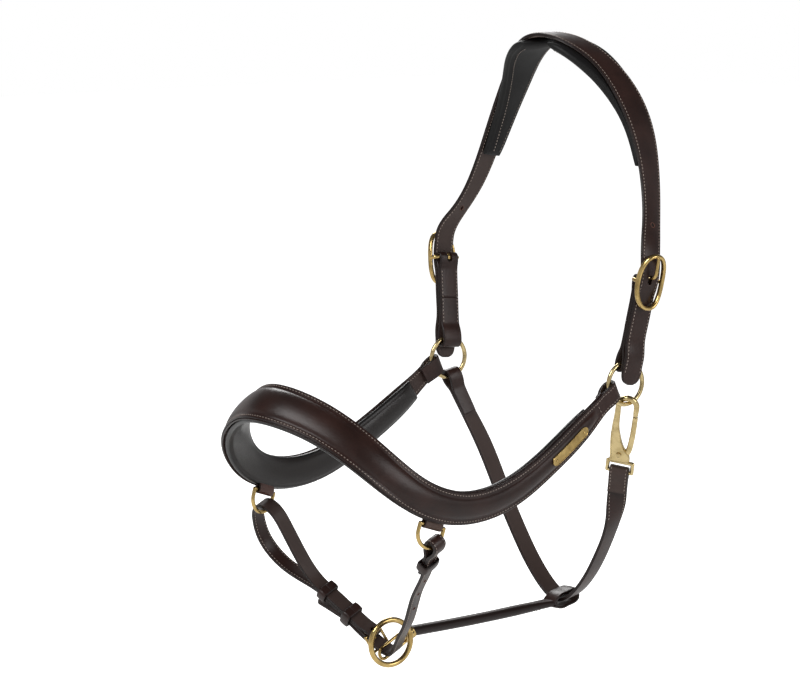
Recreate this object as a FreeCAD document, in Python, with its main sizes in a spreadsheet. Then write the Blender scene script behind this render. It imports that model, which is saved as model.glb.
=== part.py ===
import FreeCAD, Part
import math
import os

# Leather headcollar, hanging as it would on a horse's head.
# Millimetres, +Z up, the nose towards -Y and the horse's left (near) side towards +X.
# The origin is the seat on the poll, under the middle of the headpiece.

Vector = FreeCAD.Vector

SIZES = {
    # Where the hardware sits on the head: near side, the far side is its mirror.
    "ring_side": 112, "ring_forward": 16, "ring_drop": 300,
    "buckle_side": 124, "buckle_forward": 6, "buckle_drop": 208,
    "nose_forward": 333, "nose_rise": 6, "noseband_dip": 84,
    "dee_forward": 241, "chape_drop": 4, "chape_thick": 1.6, "chape_width": 19,
    "chin_forward": 192, "chin_drop": 530,
    "throat_back": 23, "throat_drop": 516,
    "crown_back": 17,
    # Leather.
    "strap_width": 20, "strap_thick": 3.2, "cheek_thick": 2.6,
    "crown_width": 28, "bridge_width": 24, "tail_length": 93,
    "pad_thick": 7, "pad_width": 47,
    "nose_width": 38, "nose_end_width": 16.5, "nose_thick": 3.2, "nose_pad_thick": 5.5,
    "tongue_slot": 11, "hole_pitch": 27, "hole_size": 4,
    "throat_width": 18, "throat_end_width": 14, "throat_bulge": 9, "throat_thick": 3,
    "chin_width": 13.5, "chin_thick": 2.8,
    "centre_diameter": 10, "centre_loop_width": 16,
    "keeper_thick": 2, "keeper_length": 9,
    # Brass.
    "ring_outer": 41, "ring_wire": 4, "ring_toe": 10,
    "oval_width": 30, "oval_length": 50, "oval_wire": 4, "oval_dish": 30, "bar_wire": 3.6,
    "tongue_width": 3.6, "tongue_thick": 2.2,
    "dee_width": 29, "dee_straight": 6, "dee_wire": 3.5,
    "lead_outer": 45, "lead_wire": 5, "lead_toe": 12,
    "plate_forward": 95, "plate_length": 50, "plate_width": 9, "plate_thick": 1.2, "plate_pin": 1.6,
    "chin_tongue": 3, "chin_buckle_length": 15, "chin_buckle_wire": 2.6,
    "cap_diameter": 13, "cap_length": 9, "cap_socket": 5, "bolt_loop_length": 33, "bolt_loop_wire": 3,
    "snap_wire": 5, "snap_inside": 11,
    "snap_thick": 8, "snap_turn": 30, "snap_nose": 12, "snap_rivet": 3, "gate_thick": 3,
    "eye_width": 26, "eye_height": 14, "eye_wire": 3.6,
    # Clearances.
    "leather_gap": 0.3, "ring_gap": 1.4, "dee_gap": 2, "bar_gap": 0.3, "keeper_gap": 0.5,
    "pivot_gap": 0.15, "chape_play": 1.2, "pad_gap": 0.8, "nose_pad_gap": 1.4, "open_pivot_gap": 3.2,
}

doc = FreeCAD.newDocument("headcollar")
sheet = doc.addObject("Spreadsheet::Sheet", "dims")
for row, (alias, value) in enumerate(SIZES.items(), start=1):
    sheet.set("A%d" % row, alias)
    sheet.set("B%d" % row, str(value))
    sheet.setAlias("B%d" % row, alias)
doc.recompute()

NODES = []


def dim(alias):
    """The present value of one driving dimension."""
    return float(sheet.get(alias))


def node(piece, label):
    """Mark a finished document object as one sub-part."""
    piece.Label = label
    NODES.append(piece)
    return piece


def unit(vector):
    return Vector(vector).normalize()


def axes_at(origin, x_axis, z_axis):
    """Placement with local X along x_axis and local Z as near z_axis as it can be."""
    along = unit(x_axis)
    up = unit(z_axis - along * along.dot(z_axis))
    across = up.cross(along)
    matrix = FreeCAD.Matrix(along.x, across.x, up.x, origin.x, along.y, across.y, up.y, origin.y,
                            along.z, across.z, up.z, origin.z, 0, 0, 0, 1)
    return FreeCAD.Placement(matrix)


def mirrored(vector):
    """The same place on the far side of the head."""
    return Vector(-vector.x, vector.y, vector.z)


def primitive(kind, name, placement=None, **formulas):
    """A Part primitive whose sizes follow the sheet."""
    piece = doc.addObject("Part::" + kind, name)
    for prop, formula in formulas.items():
        piece.setExpression(prop, formula)
    if placement:
        piece.Placement = placement
    return piece


def joined(name, pieces):
    fuse = doc.addObject("Part::MultiFuse", name)
    fuse.Shapes = pieces
    return fuse


def cut(name, base, tool):
    result = doc.addObject("Part::Cut", name)
    result.Base = base
    result.Tool = tool
    return result


def route_of(stations):
    """Smooth curve through the stations' points, and its parameter at each of them."""
    points = [station[0] for station in stations]
    params = [0.0]
    for before, after in zip(points, points[1:]):
        params.append(params[-1] + after.distanceToPoint(before))
    curve = Part.BSplineCurve()
    curve.interpolate(Points=points, Parameters=params)
    return curve, params


def strap_axes(curve, param, across):
    """Tangent, width direction and face normal of a strap at one place on its route."""
    along = unit(curve.tangent(param)[0])
    side = unit(across - along * along.dot(across))
    return along, side, along.cross(side)


def smooth_curve(points, params):
    curve = Part.BSplineCurve()
    curve.interpolate(Points=points, Parameters=params)
    return curve


def ruled_face(first, second):
    """Face between two corner curves that share their knots."""
    surface = Part.BSplineSurface()
    surface.buildFromPolesMultsKnots([first.getPoles(), second.getPoles()], [2, 2],
                                     first.getMultiplicities(), [0, 1], first.getKnots(),
                                     False, False, 1, first.Degree)
    return surface.toShape()


def ribbon(stations, thickness):
    """Solid strap of four ruled faces through stations of (point, width direction, width)."""
    curve, params = route_of(stations)
    corners = [[], [], [], []]
    for param, (point, across, width) in zip(params, stations):
        along, side, face = strap_axes(curve, param, across)
        wide = side * (width / 2)
        deep = face * (thickness / 2)
        for edge, spot in zip(corners, (wide + deep, deep - wide, wide * -1 - deep, wide - deep)):
            edge.append(point + spot)
    edges = [smooth_curve(edge, params) for edge in corners]
    faces = [ruled_face(edges[index - 1], edges[index]) for index in range(4)]
    for end in (0, -1):
        outline = [edge[end] for edge in corners]
        faces.append(Part.Face(Part.makePolygon(outline + outline[:1])))
    shell = Part.makeShell(faces)
    shell.sewShape()
    solid = Part.makeSolid(shell)
    if solid.Volume < 0:
        solid.reverse()
    return solid


def shifted(stations, distance, spare=0):
    """The same route moved by a distance along the strap's face normal, and made wider."""
    curve, params = route_of(stations)
    moved = []
    for param, (point, across, width) in zip(params, stations):
        face = strap_axes(curve, param, across)[2]
        moved.append((point + face * distance, across, width + spare))
    return moved


def station_at(stations, param):
    """Place, axes and width of a strap part of the way along its route."""
    curve, params = route_of(stations)
    upper = next(index for index, value in enumerate(params) if value >= param)
    share = (param - params[upper - 1]) / (params[upper] - params[upper - 1])
    across = stations[upper - 1][1] * (1 - share) + stations[upper][1] * share
    width = stations[upper - 1][2] * (1 - share) + stations[upper][2] * share
    return curve.value(param), strap_axes(curve, param, across), width


def leather(label, shape):
    """A leather piece whose shape is worked out in code from the sheet's sizes."""
    piece = doc.addObject("Part::Feature", label)
    piece.Shape = shape
    return node(piece, label)


def turn(centre, along, side, radius, sag, reach, half_gap):
    """Route of a strap folded round a wire at centre, from its +side layer to its -side layer."""
    route = [(reach, half_gap), (reach * 0.78, half_gap + (radius - half_gap) * 0.12),
             (reach * 0.5, half_gap + (radius - half_gap) * 0.6), (radius * 0.35, radius)]
    for step in range(7):
        angle = math.radians(step * 30)
        route.append((-sag - radius * math.sin(angle), radius * math.cos(angle)))
    lower = [(distance, -offset) for distance, offset in reversed(route[:4])]
    return [centre + along * distance + side * offset for distance, offset in route + lower]


def sagitta(radius, width):
    """How far a round wire falls away under a strap of this width."""
    return radius - math.sqrt(radius ** 2 - (width / 2) ** 2)


def wire_loop(name, half_width, leg, wire, placement):
    """Half of a wire loop: two straight legs from local X = 0, joined by a half ring."""
    pieces = []
    for sign, tag in ((1, "a"), (-1, "b")):
        at = axes_at(Vector(0, sign * half_width, 0), Vector(0, 0, -1), Vector(1, 0, 0))
        pieces.append(primitive("Cylinder", name + "_leg_" + tag, at, Radius="%s / 2" % wire))
        pieces[-1].Height = leg
    bend = axes_at(Vector(leg, 0, 0), Vector(0, 1, 0), Vector(0, 0, -1))
    arc = primitive("Torus", name + "_bend", bend, Radius2="%s / 2" % wire)
    arc.Radius1 = half_width
    arc.Angle3 = 180
    pieces.append(arc)
    loop = joined(name, pieces)
    loop.Placement = placement
    return loop


# ---- Places on the head ---------------------------------------------------------------------

ring_centre = Vector(dim("ring_side"), -dim("ring_forward"), -dim("ring_drop"))
ring_radius = (dim("ring_outer") - dim("ring_wire")) / 2
toe = math.radians(dim("ring_toe"))
ring_normal = Vector(math.cos(toe), -math.sin(toe), 0)
ring_front = Vector(-math.sin(toe), -math.cos(toe), 0)
chin = Vector(0, -dim("chin_forward"), -dim("chin_drop"))
throat = Vector(0, dim("throat_back"), -dim("throat_drop"))


def noseband_shape(sign):
    """Outer leather's centre line on one side, from beside the ring to beside the nose's middle."""
    forward = dim("nose_forward") - dim("ring_forward")
    broad = dim("nose_width")
    # Share of half width, share of the way forward, share of the dip, width direction, width.
    shape = [(1.03, 0.17, 0.36, (0, 0.55, -0.84), broad * 0.56),
             (1.045, 0.33, 0.71, (-0.05, 0.44, -0.89), broad * 0.64),
             (1.05, 0.476, 0.94, (-0.05, 0.25, -0.97), broad * 0.69),
             (1.035, 0.63, 1.0, (-0.12, 0, -0.97), broad * 0.72),
             (0.98, 0.775, 0.82, (-0.05, -0.45, -0.87), broad * 0.77),
             (0.77, 0.89, 0.40, (0.0, -0.75, -0.64), broad * 0.87),
             (0.40, 0.96, 0.06, (0.0, -0.78, -0.62), broad * 0.96)]
    stations = []
    for out, ahead, down, (x, y, z), width in shape:
        point = Vector(sign * dim("ring_side") * out, -dim("ring_forward") - forward * ahead,
                       -dim("ring_drop") - dim("noseband_dip") * down)
        stations.append((point, Vector(sign * x, y, z), width))
    return stations


nose_top = Vector(0, -dim("nose_forward"), -dim("ring_drop") + dim("nose_rise"))
nose_middle = [(nose_top, Vector(0, -0.74, -0.66), dim("nose_width"))]
noseband_open = noseband_shape(1) + nose_middle + list(reversed(noseband_shape(-1)))


def noseband_place(forward):
    """Place, axes and width of the near half of the noseband at a distance forward."""
    curve, params = route_of(noseband_open)
    low, high = 0.0, params[len(params) // 2]
    for _ in range(40):
        middle = (low + high) / 2
        if -curve.value(middle).y < forward:
            low = middle
        else:
            high = middle
    return station_at(noseband_open, middle)


chape_skin = dim("chape_thick") * 2 + dim("leather_gap")
chape_turn = dim("dee_wire") / 2 + dim("bar_gap") + dim("chape_thick") / 2
dee_radius = (dim("dee_width") - dim("dee_wire")) / 2
dee_spot, (dee_along, dee_hang, dee_face), dee_band = noseband_place(dim("dee_forward"))
dee_inward = dee_face if dee_face.x < 0 else dee_face * -1
chape_inset = dim("nose_thick") / 2 + dim("leather_gap") + dim("chape_play") + chape_skin / 2
chape_root = dee_spot + dee_inward * chape_inset
dee_bar = chape_root + dee_hang * (dee_band / 2 + dim("chape_drop"))
dee_down = unit(dee_along * dee_along.z - Vector(0, 0, 1))
dee_centre = dee_bar + dee_down * dim("dee_straight")
chin_up = unit(Vector(0, dee_centre.y - chin.y, dee_centre.z - chin.z))
chin_across = Vector(0, chin_up.z, -chin_up.y)
chin_reach = (dee_centre - chin).dot(chin_up)
throat_down = unit(Vector(0, throat.y - ring_centre.y, throat.z - ring_centre.z))
throat_across = Vector(0, -throat_down.z, throat_down.y)


def chin_point(side, height):
    """A place in the sloping plane of the chin strap, measured from its lowest point."""
    return chin + Vector(side, 0, 0) + chin_up * height


# ---- Cheek rings ----------------------------------------------------------------------------

def side_frames():
    """Near and far: name, ring centre, outward ring normal and forward direction in the ring."""
    yield "near", ring_centre, ring_normal, ring_front
    yield "far", mirrored(ring_centre), ring_normal * -1, ring_front


for side_name, centre, normal, front in side_frames():
    ring = primitive("Torus", "cheek_ring_" + side_name, axes_at(centre, front, normal),
                     Radius1="(dims.ring_outer - dims.ring_wire) / 2", Radius2="dims.ring_wire / 2")
    node(ring, "cheek_ring_" + side_name)


# ---- Cheekpieces, oval buckles and tongues --------------------------------------------------

def cheek_frame(centre, normal):
    """Placement of one cheekpiece: X up the strap from the ring, Y across it, Z outwards."""
    sign = math.copysign(1, centre.x)
    buckle = Vector(sign * dim("buckle_side"), -dim("buckle_forward"), -dim("buckle_drop"))
    toward = buckle - centre
    radial = unit(toward - normal * toward.dot(normal))
    foot = centre + radial * ring_radius
    return axes_at(foot, buckle - foot, normal), (buckle - foot).Length


cheek_half = dim("cheek_thick") / 2
cheek_skin = dim("leather_gap") / 2 + dim("cheek_thick")
ring_turn = dim("ring_wire") / 2 + dim("ring_gap") + cheek_half
tail_offset = cheek_skin + dim("leather_gap") + dim("strap_thick") / 2
bar_turn = dim("bar_wire") / 2 + dim("bar_gap") + cheek_half
bar_offset = bar_turn + cheek_half + dim("leather_gap") + dim("strap_thick") / 2
oval_half = (dim("oval_width") - dim("oval_wire")) / 2
oval_leg = (dim("oval_length") - dim("oval_width")) / 2
dish = math.radians(dim("oval_dish"))
oval_tip = (oval_leg + oval_half) * math.sin(dish)
slot_width = dim("tongue_width") + 2 * dim("leather_gap")
cheek_places = {}


for side_name, centre, normal, front in side_frames():
    place, cheek_length = cheek_frame(centre, normal)
    cheek_places[side_name] = place, cheek_length
    wide = dim("strap_width")
    at_ring = turn(Vector(), Vector(1, 0, 0), Vector(0, 0, 1), ring_turn,
                   sagitta(ring_radius, wide), 16, dim("leather_gap") / 2 + cheek_half)
    at_bar = turn(Vector(cheek_length, 0, 0), Vector(-1, 0, 0), Vector(0, 0, -1), bar_turn, 0, 13,
                  dim("leather_gap") / 2 + cheek_half)
    seam = Vector(cheek_length / 2, 0, -dim("leather_gap") / 2 - cheek_half)
    clear = Vector(dim("leather_gap") / 2, 0, 0)
    outer = Vector(seam.x, 0, -seam.z)
    route = [seam + clear] + at_bar + [outer] + at_ring + [seam - clear]
    folded = ribbon([(point, Vector(0, 1, 0), wide) for point in route], dim("cheek_thick"))
    notch = Part.makeBox(14, slot_width + 0.8, 20, Vector(cheek_length - 6, -slot_width / 2 - 0.4, -10))
    piece = leather("cheekpiece_" + side_name, folded.cut(notch))
    piece.Placement = place

    # The oval frame is dished: both ends stand off the strap, the middle bar lies under it.
    middle = place.multiply(FreeCAD.Placement(Vector(cheek_length, 0, 0), FreeCAD.Rotation()))
    tilt = FreeCAD.Rotation(Vector(0, 1, 0), -dim("oval_dish"))
    upper = wire_loop("oval_upper_" + side_name, oval_half, oval_leg, "dims.oval_wire",
                      FreeCAD.Placement(Vector(), tilt))
    turned = FreeCAD.Rotation(Vector(0, 0, 1), 180)
    lower = wire_loop("oval_lower_" + side_name, oval_half, oval_leg, "dims.oval_wire",
                      FreeCAD.Placement(Vector(), turned.multiply(tilt)))
    bar_place = axes_at(Vector(0, -oval_half, 0), Vector(1, 0, 0), Vector(0, 1, 0))
    bar = primitive("Cylinder", "oval_bar_" + side_name, bar_place, Radius="dims.bar_wire / 2",
                    Height="dims.oval_width - dims.oval_wire")
    corners = []
    for sign, tag in ((1, "a"), (-1, "b")):
        spot = FreeCAD.Placement(Vector(0, sign * oval_half, 0), FreeCAD.Rotation())
        corners.append(primitive("Sphere", "oval_corner_%s_%s" % (side_name, tag), spot,
                                 Radius="dims.oval_wire / 2"))
    frame = joined("buckle_frame_" + side_name, [upper, lower, bar] + corners)
    frame.Placement = middle
    node(frame, "buckle_frame_" + side_name)

    # The tongue turns on the bar, comes up through the strap and rests on the frame's top end.
    inner = dim("bar_wire") / 2 + dim("pivot_gap")
    hub = inner + dim("tongue_thick") * 0.7
    reach = (oval_leg + oval_half) * math.cos(dish)
    rest = oval_tip + dim("oval_wire") / 2 + 2 * dim("pivot_gap")
    outline = [Vector(1.2, 0, 1.5), Vector(3.4, 0, rest - 1.4), Vector(reach * 0.7, 0, rest - 0.1),
               Vector(reach + 2, 0, rest), Vector(reach + 2.6, 0, rest + 1.4),
               Vector(reach - 1, 0, rest + dim("tongue_thick")),
               Vector(2.4, 0, rest + 0.8), Vector(-1.4, 0, 1.5), Vector(1.2, 0, 1.5)]
    arm = Part.Face(Part.makePolygon(outline)).extrude(Vector(0, dim("tongue_width"), 0))
    arm.translate(Vector(0, -dim("tongue_width") / 2, 0))
    start = Vector(0, -dim("tongue_width") / 2, 0)
    sleeve = Part.makeCylinder(hub, dim("tongue_width"), start, Vector(0, 1, 0))
    bore = Part.makeCylinder(inner, dim("tongue_width"), start, Vector(0, 1, 0))
    tongue = leather("buckle_tongue_" + side_name, sleeve.fuse(arm).cut(bore))
    tongue.Placement = middle


# ---- Headpiece: one strap over the poll, with its tails through both buckles -----------------

def tail_route(place, cheek_length):
    """The buckled tail, from its tip by the ring to above the buckle, in the head's frame."""
    length = dim("tail_length")
    tip = cheek_length - length
    top = cheek_length + (oval_leg + oval_half) * math.cos(dish)
    bottom = cheek_length - (oval_leg + oval_half) * math.cos(dish)
    low = tail_offset
    over_ring = ring_turn + cheek_half + dim("leather_gap") + dim("strap_thick") / 2
    wide = dim("strap_width")
    spots = [(tip, over_ring, wide * 0.3), (tip + 1.2, over_ring, wide * 0.56),
             (tip + 4, over_ring, wide * 0.84), (tip + 9, over_ring, wide), (-3, over_ring, wide),
             (7, over_ring, wide), (18, low + 0.6, wide), ((18 + bottom) / 2, low, wide),
             (bottom, low, wide), (cheek_length - 13, low + 0.2, wide),
             (cheek_length - 6, bar_offset - 0.4, wide), (cheek_length, bar_offset, wide),
             (cheek_length + 6, bar_offset - 0.4, wide), (cheek_length + 12, bar_offset - 1.5, wide),
             (cheek_length + 16, bar_offset - 2.5, wide), (top + 2, bar_offset - 4.4, wide)]
    return [(place.multVec(Vector(x, 0, z)), place.Rotation.multVec(Vector(0, 1, 0)), width)
            for x, z, width in spots]


def crown_route(sign):
    """From the strap above a buckle, up the side of the head to beside the poll."""
    side = dim("ring_side")
    drop = dim("ring_drop")
    back = dim("crown_back")
    narrow = dim("strap_width")
    broad = dim("crown_width")
    # Share of the half width, share of the ring's drop, share of the set-back, strap width, turn.
    shape = [(1.085, 0.56, 0.3, narrow, 0.0), (0.985, 0.47, 1.0, narrow * 1.05, 0.0),
             (0.9, 0.375, 1.4, (narrow + broad) / 2, 0.05), (0.78, 0.26, 1.6, broad, 0.1),
             (0.61, 0.148, 1.4, broad, 0.1), (0.40, 0.058, 0.8, broad * 0.88, 0.05),
             (0.10, 0.004, 0.1, dim("bridge_width") * 1.1, 0.0)]
    lift = dim("strap_thick") / 2
    stations = []
    for out, down, rear, width, lean in shape:
        point = Vector(sign * (side * out), back * rear, -drop * down + lift)
        stations.append((point, Vector(0, 1, lean), width))
    return stations


near_tail = [(point, across * -1, width) for point, across, width in tail_route(*cheek_places["near"])]
far_tail = tail_route(*cheek_places["far"])
crown_height = dim("strap_thick") / 2
poll = [(Vector(0, 0, crown_height), Vector(0, 1, 0), dim("bridge_width"))]
near_crown = crown_route(1)
far_crown = crown_route(-1)
headpiece_route = near_tail + near_crown + poll + list(reversed(far_crown)) + list(reversed(far_tail))
headpiece = ribbon(headpiece_route, dim("strap_thick"))
for side_name in ("near", "far"):
    place, cheek_length = cheek_places[side_name]
    slot = Part.makeBox(dim("tongue_slot"), slot_width, 12,
                        Vector(cheek_length - dim("tongue_slot") / 2, -slot_width / 2, bar_offset - 6))
    tools = [slot]
    for spot in (cheek_length - dim("hole_pitch"), cheek_length + dim("hole_pitch") * 1.7):
        tools.append(Part.makeCylinder(dim("hole_size") / 2, 40, Vector(spot, 0, -20)))
    for tool in tools:
        tool.Placement = place
        headpiece = headpiece.cut(tool)
leather("headpiece_leather", headpiece)

# ---- Two soft pads under the headpiece, with a gap over the poll ----------------------------

pad_shift = dim("strap_thick") / 2 + dim("pad_gap") + dim("pad_thick") / 2
under_leather = shifted(headpiece_route, pad_shift)
crown_count = len(near_crown)
near_start = len(near_tail) + 2
far_start = len(near_tail) + crown_count + 1
pad_widths = [dim("pad_width") * share for share in (0.48, 0.62, 0.82, 1, 0.98)]
for side_name, start, widths in (("near", near_start, pad_widths), ("far", far_start, pad_widths[::-1])):
    spread = [(point, across, width)
              for (point, across, _), width in zip(under_leather[start:start + crown_count - 2], widths)]
    leather("poll_pad_" + side_name, ribbon(spread, dim("pad_thick")))

# ---- Noseband: folded round both rings, padded behind ---------------------------------------

nose_dip_angle = math.radians(24)


def noseband_end(sign):
    """The folded end round one ring: the route from the outer layer in to the inner end."""
    centre = ring_centre if sign > 0 else mirrored(ring_centre)
    outward = ring_normal * sign
    radial = ring_front * math.cos(nose_dip_angle) - Vector(0, 0, 1) * math.sin(nose_dip_angle)
    across = ring_normal.cross(radial)
    wide = dim("nose_end_width")
    radius = dim("ring_wire") / 2 + dim("ring_gap") + dim("nose_thick") / 2
    foot = centre + radial * ring_radius
    first = noseband_open[0 if sign > 0 else -1][0]
    lean = unit(first - foot)
    side = unit(outward - lean * lean.dot(outward))
    route = turn(foot, lean, side, radius, sagitta(ring_radius, wide), 15,
                 dim("leather_gap") / 2 + dim("nose_thick") / 2)
    if across.z > 0:
        across = across * -1
    return [(point, across, wide) for point in route]


near_end = noseband_end(1)
far_end = noseband_end(-1)
noseband_route = list(reversed(near_end)) + noseband_open + far_end
noseband = ribbon(noseband_route, dim("nose_thick"))

nose_skin = dim("nose_thick") / 2 + dim("nose_pad_gap") + dim("nose_pad_thick") / 2
behind = shifted(noseband_route, nose_skin * (-1 if dee_face.x > 0 else 1), 1)
padding = ribbon(behind[len(near_end):-len(far_end)], dim("nose_pad_thick"))

# ---- Dee rings in their leather chapes ------------------------------------------------------

for sign, side_name in ((1, "near"), (-1, "far")):
    def here(vector):
        return vector if sign > 0 else mirrored(vector)

    up = here(dee_hang * -1)
    outward = here(dee_inward * -1)
    bar_along = here(dee_along)
    tab = turn(here(dee_bar), up, outward, chape_turn, 0, 8, chape_skin / 2 - dim("chape_thick") / 2)
    tab = [tab[0] + up * 5, tab[0] + up * 2] + tab + [tab[-1] + up * 2, tab[-1] + up * 5]
    stations = [(point, bar_along, dim("chape_width")) for point in tab]
    leather("dee_chape_" + side_name, ribbon(stations, dim("chape_thick")))
    deep = chape_skin + 2 * dim("chape_play")
    pocket = Part.makeBox(40, dim("chape_width") + 2, deep + 3,
                          Vector(-20, -dim("chape_width") / 2 - 1, -deep / 2))
    notch_width = dim("dee_width") + 6
    notch = Part.makeBox(40, notch_width, 24, Vector(-35, -notch_width / 2, -12))
    for tool in (pocket, notch):
        tool.Placement = axes_at(here(dee_bar), up, outward)
        padding = padding.cut(tool)

    hang = axes_at(here(dee_bar), here(dee_down), here(dee_along.cross(dee_down)))
    loop = wire_loop("dee_loop_" + side_name, dee_radius, dim("dee_straight"), "dims.dee_wire",
                     FreeCAD.Placement())
    bar_spot = axes_at(Vector(0, -dee_radius, 0), Vector(1, 0, 0), Vector(0, 1, 0))
    bar = primitive("Cylinder", "dee_bar_" + side_name, bar_spot, Radius="dims.dee_wire / 2",
                    Height="dims.dee_width - dims.dee_wire")
    balls = []
    for end, tag in ((1, "a"), (-1, "b")):
        spot = FreeCAD.Placement(Vector(0, end * dee_radius, 0), FreeCAD.Rotation())
        balls.append(primitive("Sphere", "dee_corner_%s_%s" % (side_name, tag), spot,
                               Radius="dims.dee_wire / 2"))
    dee = joined("dee_ring_" + side_name, [loop, bar] + balls)
    dee.Placement = hang
    node(dee, "dee_ring_" + side_name)

leather("noseband_padding", padding)

# ---- Chin strap: a buckled strap lying in one sloping plane between the two dees -------------

chin_half = dim("chin_thick") / 2
chin_sag = sagitta(dee_radius, dim("chin_width"))
chin_turn = dim("dee_wire") / 2 + dim("dee_gap") + chin_half
chin_gap = dim("leather_gap") / 2 + chin_half
dee_side = dee_centre.x
dee_low = chin_reach - dee_radius


def chin_strap(points):
    """Strap in the chin plane through (side, height) points."""
    return ribbon([(chin_point(x, up), chin_across, dim("chin_width")) for x, up in points],
                  dim("chin_thick"))


# The bar of the chin buckle, and the direction from it up the far leg.
chin_bar = (-19, 15)
far_axis = unit(Vector(-0.78, 0.63, 0))
far_normal = Vector(-far_axis.y, far_axis.x, 0) * -1


def far_leg(distance, offset):
    """A place along the far leg: distance up it from the buckle bar, offset to its upper side."""
    spot = Vector(*chin_bar, 0) + far_axis * distance + far_normal * offset
    return spot.x, spot.y


chin_bar_turn = dim("chin_buckle_wire") / 2 + dim("bar_gap") + chin_half
meeting = 30
at_bar = turn(Vector(*chin_bar, 0), far_axis, far_normal, chin_bar_turn, 0, 12, chin_gap)
at_bar = [(point.x, point.y) for point in reversed(at_bar)]
crest = dee_low + chin_sag + chin_turn
far_route = ([far_leg(meeting, -chin_gap)] + at_bar
             + [far_leg(30, chin_gap), far_leg(52, chin_gap), far_leg(66, chin_gap),
                (-0.79 * dee_side, 0.72 * dee_low), (-0.83 * dee_side, 0.87 * dee_low),
                (-0.92 * dee_side, crest - 3), (-dee_side, crest),
                (-1.08 * dee_side, crest - 3), (-1.17 * dee_side, 0.90 * dee_low),
                (-1.18 * dee_side, 0.74 * dee_low), (-1.06 * dee_side, 0.58 * dee_low)]
             + [far_leg(70, -chin_gap - 2), far_leg(62, -chin_gap), far_leg(46, -chin_gap),
                far_leg(meeting + 0.5, -chin_gap)])
far_notch_width = dim("chin_tongue") + 4 * dim("leather_gap")
far_notch = Part.makeBox(14, far_notch_width, 16, Vector(-10, -far_notch_width / 2, -8))
far_notch.Placement = axes_at(chin_point(*chin_bar), Vector(far_axis.x, 0, 0) + chin_up * far_axis.y,
                              Vector(far_normal.x, 0, 0) + chin_up * far_normal.y)
leather("chin_strap_far", chin_strap(far_route).cut(far_notch))

near_axis = unit(Vector(0.30 * dee_side - dee_side, 0.27 * dee_low - dee_low, 0))
near_fold = turn(Vector(dee_side, dee_low, 0), near_axis, Vector(-near_axis.y, near_axis.x, 0),
                 chin_turn, chin_sag, 15, chin_gap)
near_fold = [(point.x, point.y) for point in near_fold]
if near_fold[0][0] > near_fold[-1][0]:
    near_fold.reverse()


def near_leg(distance, offset):
    outer = Vector(-near_axis.y, near_axis.x, 0)
    outer = outer if outer.x > 0 else outer * -1
    spot = Vector(dee_side, dee_low, 0) + near_axis * distance + outer * offset
    return spot.x, spot.y


under = chin_bar_turn + 2 * chin_half + 2 * dim("leather_gap")
beside = chin_gap + 2 * chin_half + 2 * dim("leather_gap")
billet = [far_leg(0, -under), far_leg(12, -under), far_leg(26, -beside - 0.6), far_leg(38, -8.5),
          far_leg(50, -12), far_leg(60, -15.5)]
near_route = ([near_leg(38, -chin_gap), near_leg(27, -chin_gap)] + near_fold
              + [near_leg(27, chin_gap), near_leg(45, chin_gap), near_leg(70, 0),
                 (0.32 * dee_side, 0.27 * dee_low), (19, 18), (9, 6), (0, -1), (-11, 2.2)] + billet)
chin_near = chin_strap(near_route)
tongue_hole = Part.makeBox(9, dim("chin_tongue") + 2 * dim("leather_gap"), 9,
                           Vector(-4.5, -dim("chin_tongue") / 2 - dim("leather_gap"), -4.5))
tip_spot = far_leg(-4, -under)
tongue_hole.Placement = axes_at(chin_point(*tip_spot), Vector(far_axis.x, 0, 0) + chin_up * far_axis.y,
                                Vector(far_normal.x, 0, 0) + chin_up * far_normal.y)
chin_near = chin_near.cut(tongue_hole)
for step in range(3):
    spot = near_leg(50 + step * dim("hole_pitch") * 0.8, 0)
    pin = Part.makeCylinder(dim("hole_size") * 0.4, 30, Vector(0, 0, -15))
    direction = Vector(near_axis.x, 0, 0) + chin_up * near_axis.y
    pin.Placement = axes_at(chin_point(*spot), direction, direction.cross(chin_across))
    chin_near = chin_near.cut(pin)
leather("chin_strap_near", chin_near)


def keeper(label, spot, direction, layers, shift):
    """A leather loop round a number of strap layers; its box sizes follow the sheet."""
    along = Vector(direction.x, 0, 0) + chin_up * direction.y
    place = axes_at(chin_point(*spot), along, along.cross(chin_across))
    width = "dims.chin_width + 2 * dims.keeper_gap"
    depth = "%d * dims.chin_thick + %d * dims.leather_gap + 2 * dims.keeper_gap" % (layers, layers - 1)
    inner = primitive("Box", label + "_inside", Width=width, Height=depth + " + %s" % shift)
    inner.Length = 40
    outer = primitive("Box", label + "_outside", Length="dims.keeper_length",
                      Width=width + " + 2 * dims.keeper_thick",
                      Height=depth + " + %s + 2 * dims.keeper_thick" % shift)
    doc.recompute()
    inner.Placement.Base = Vector(-20, -inner.Width.Value / 2, -inner.Height.Value / 2)
    outer.Placement.Base = Vector(-outer.Length.Value / 2, -outer.Width.Value / 2,
                                  -outer.Height.Value / 2)
    loop = cut(label, outer, inner)
    loop.Placement = place
    node(loop, label)


keeper("chin_keeper_upper", far_leg(56, 0), far_axis, 2, "0.4")
low_spot = far_leg(26, (chin_gap + chin_half - beside - 0.6 - chin_half) / 2)
keeper("chin_keeper_lower", low_spot, far_axis, 3, "1.6")
keeper("chin_keeper_near", near_leg(27, 0), near_axis, 2, "0.4")

# ---- Chin buckle ----------------------------------------------------------------------------

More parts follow.
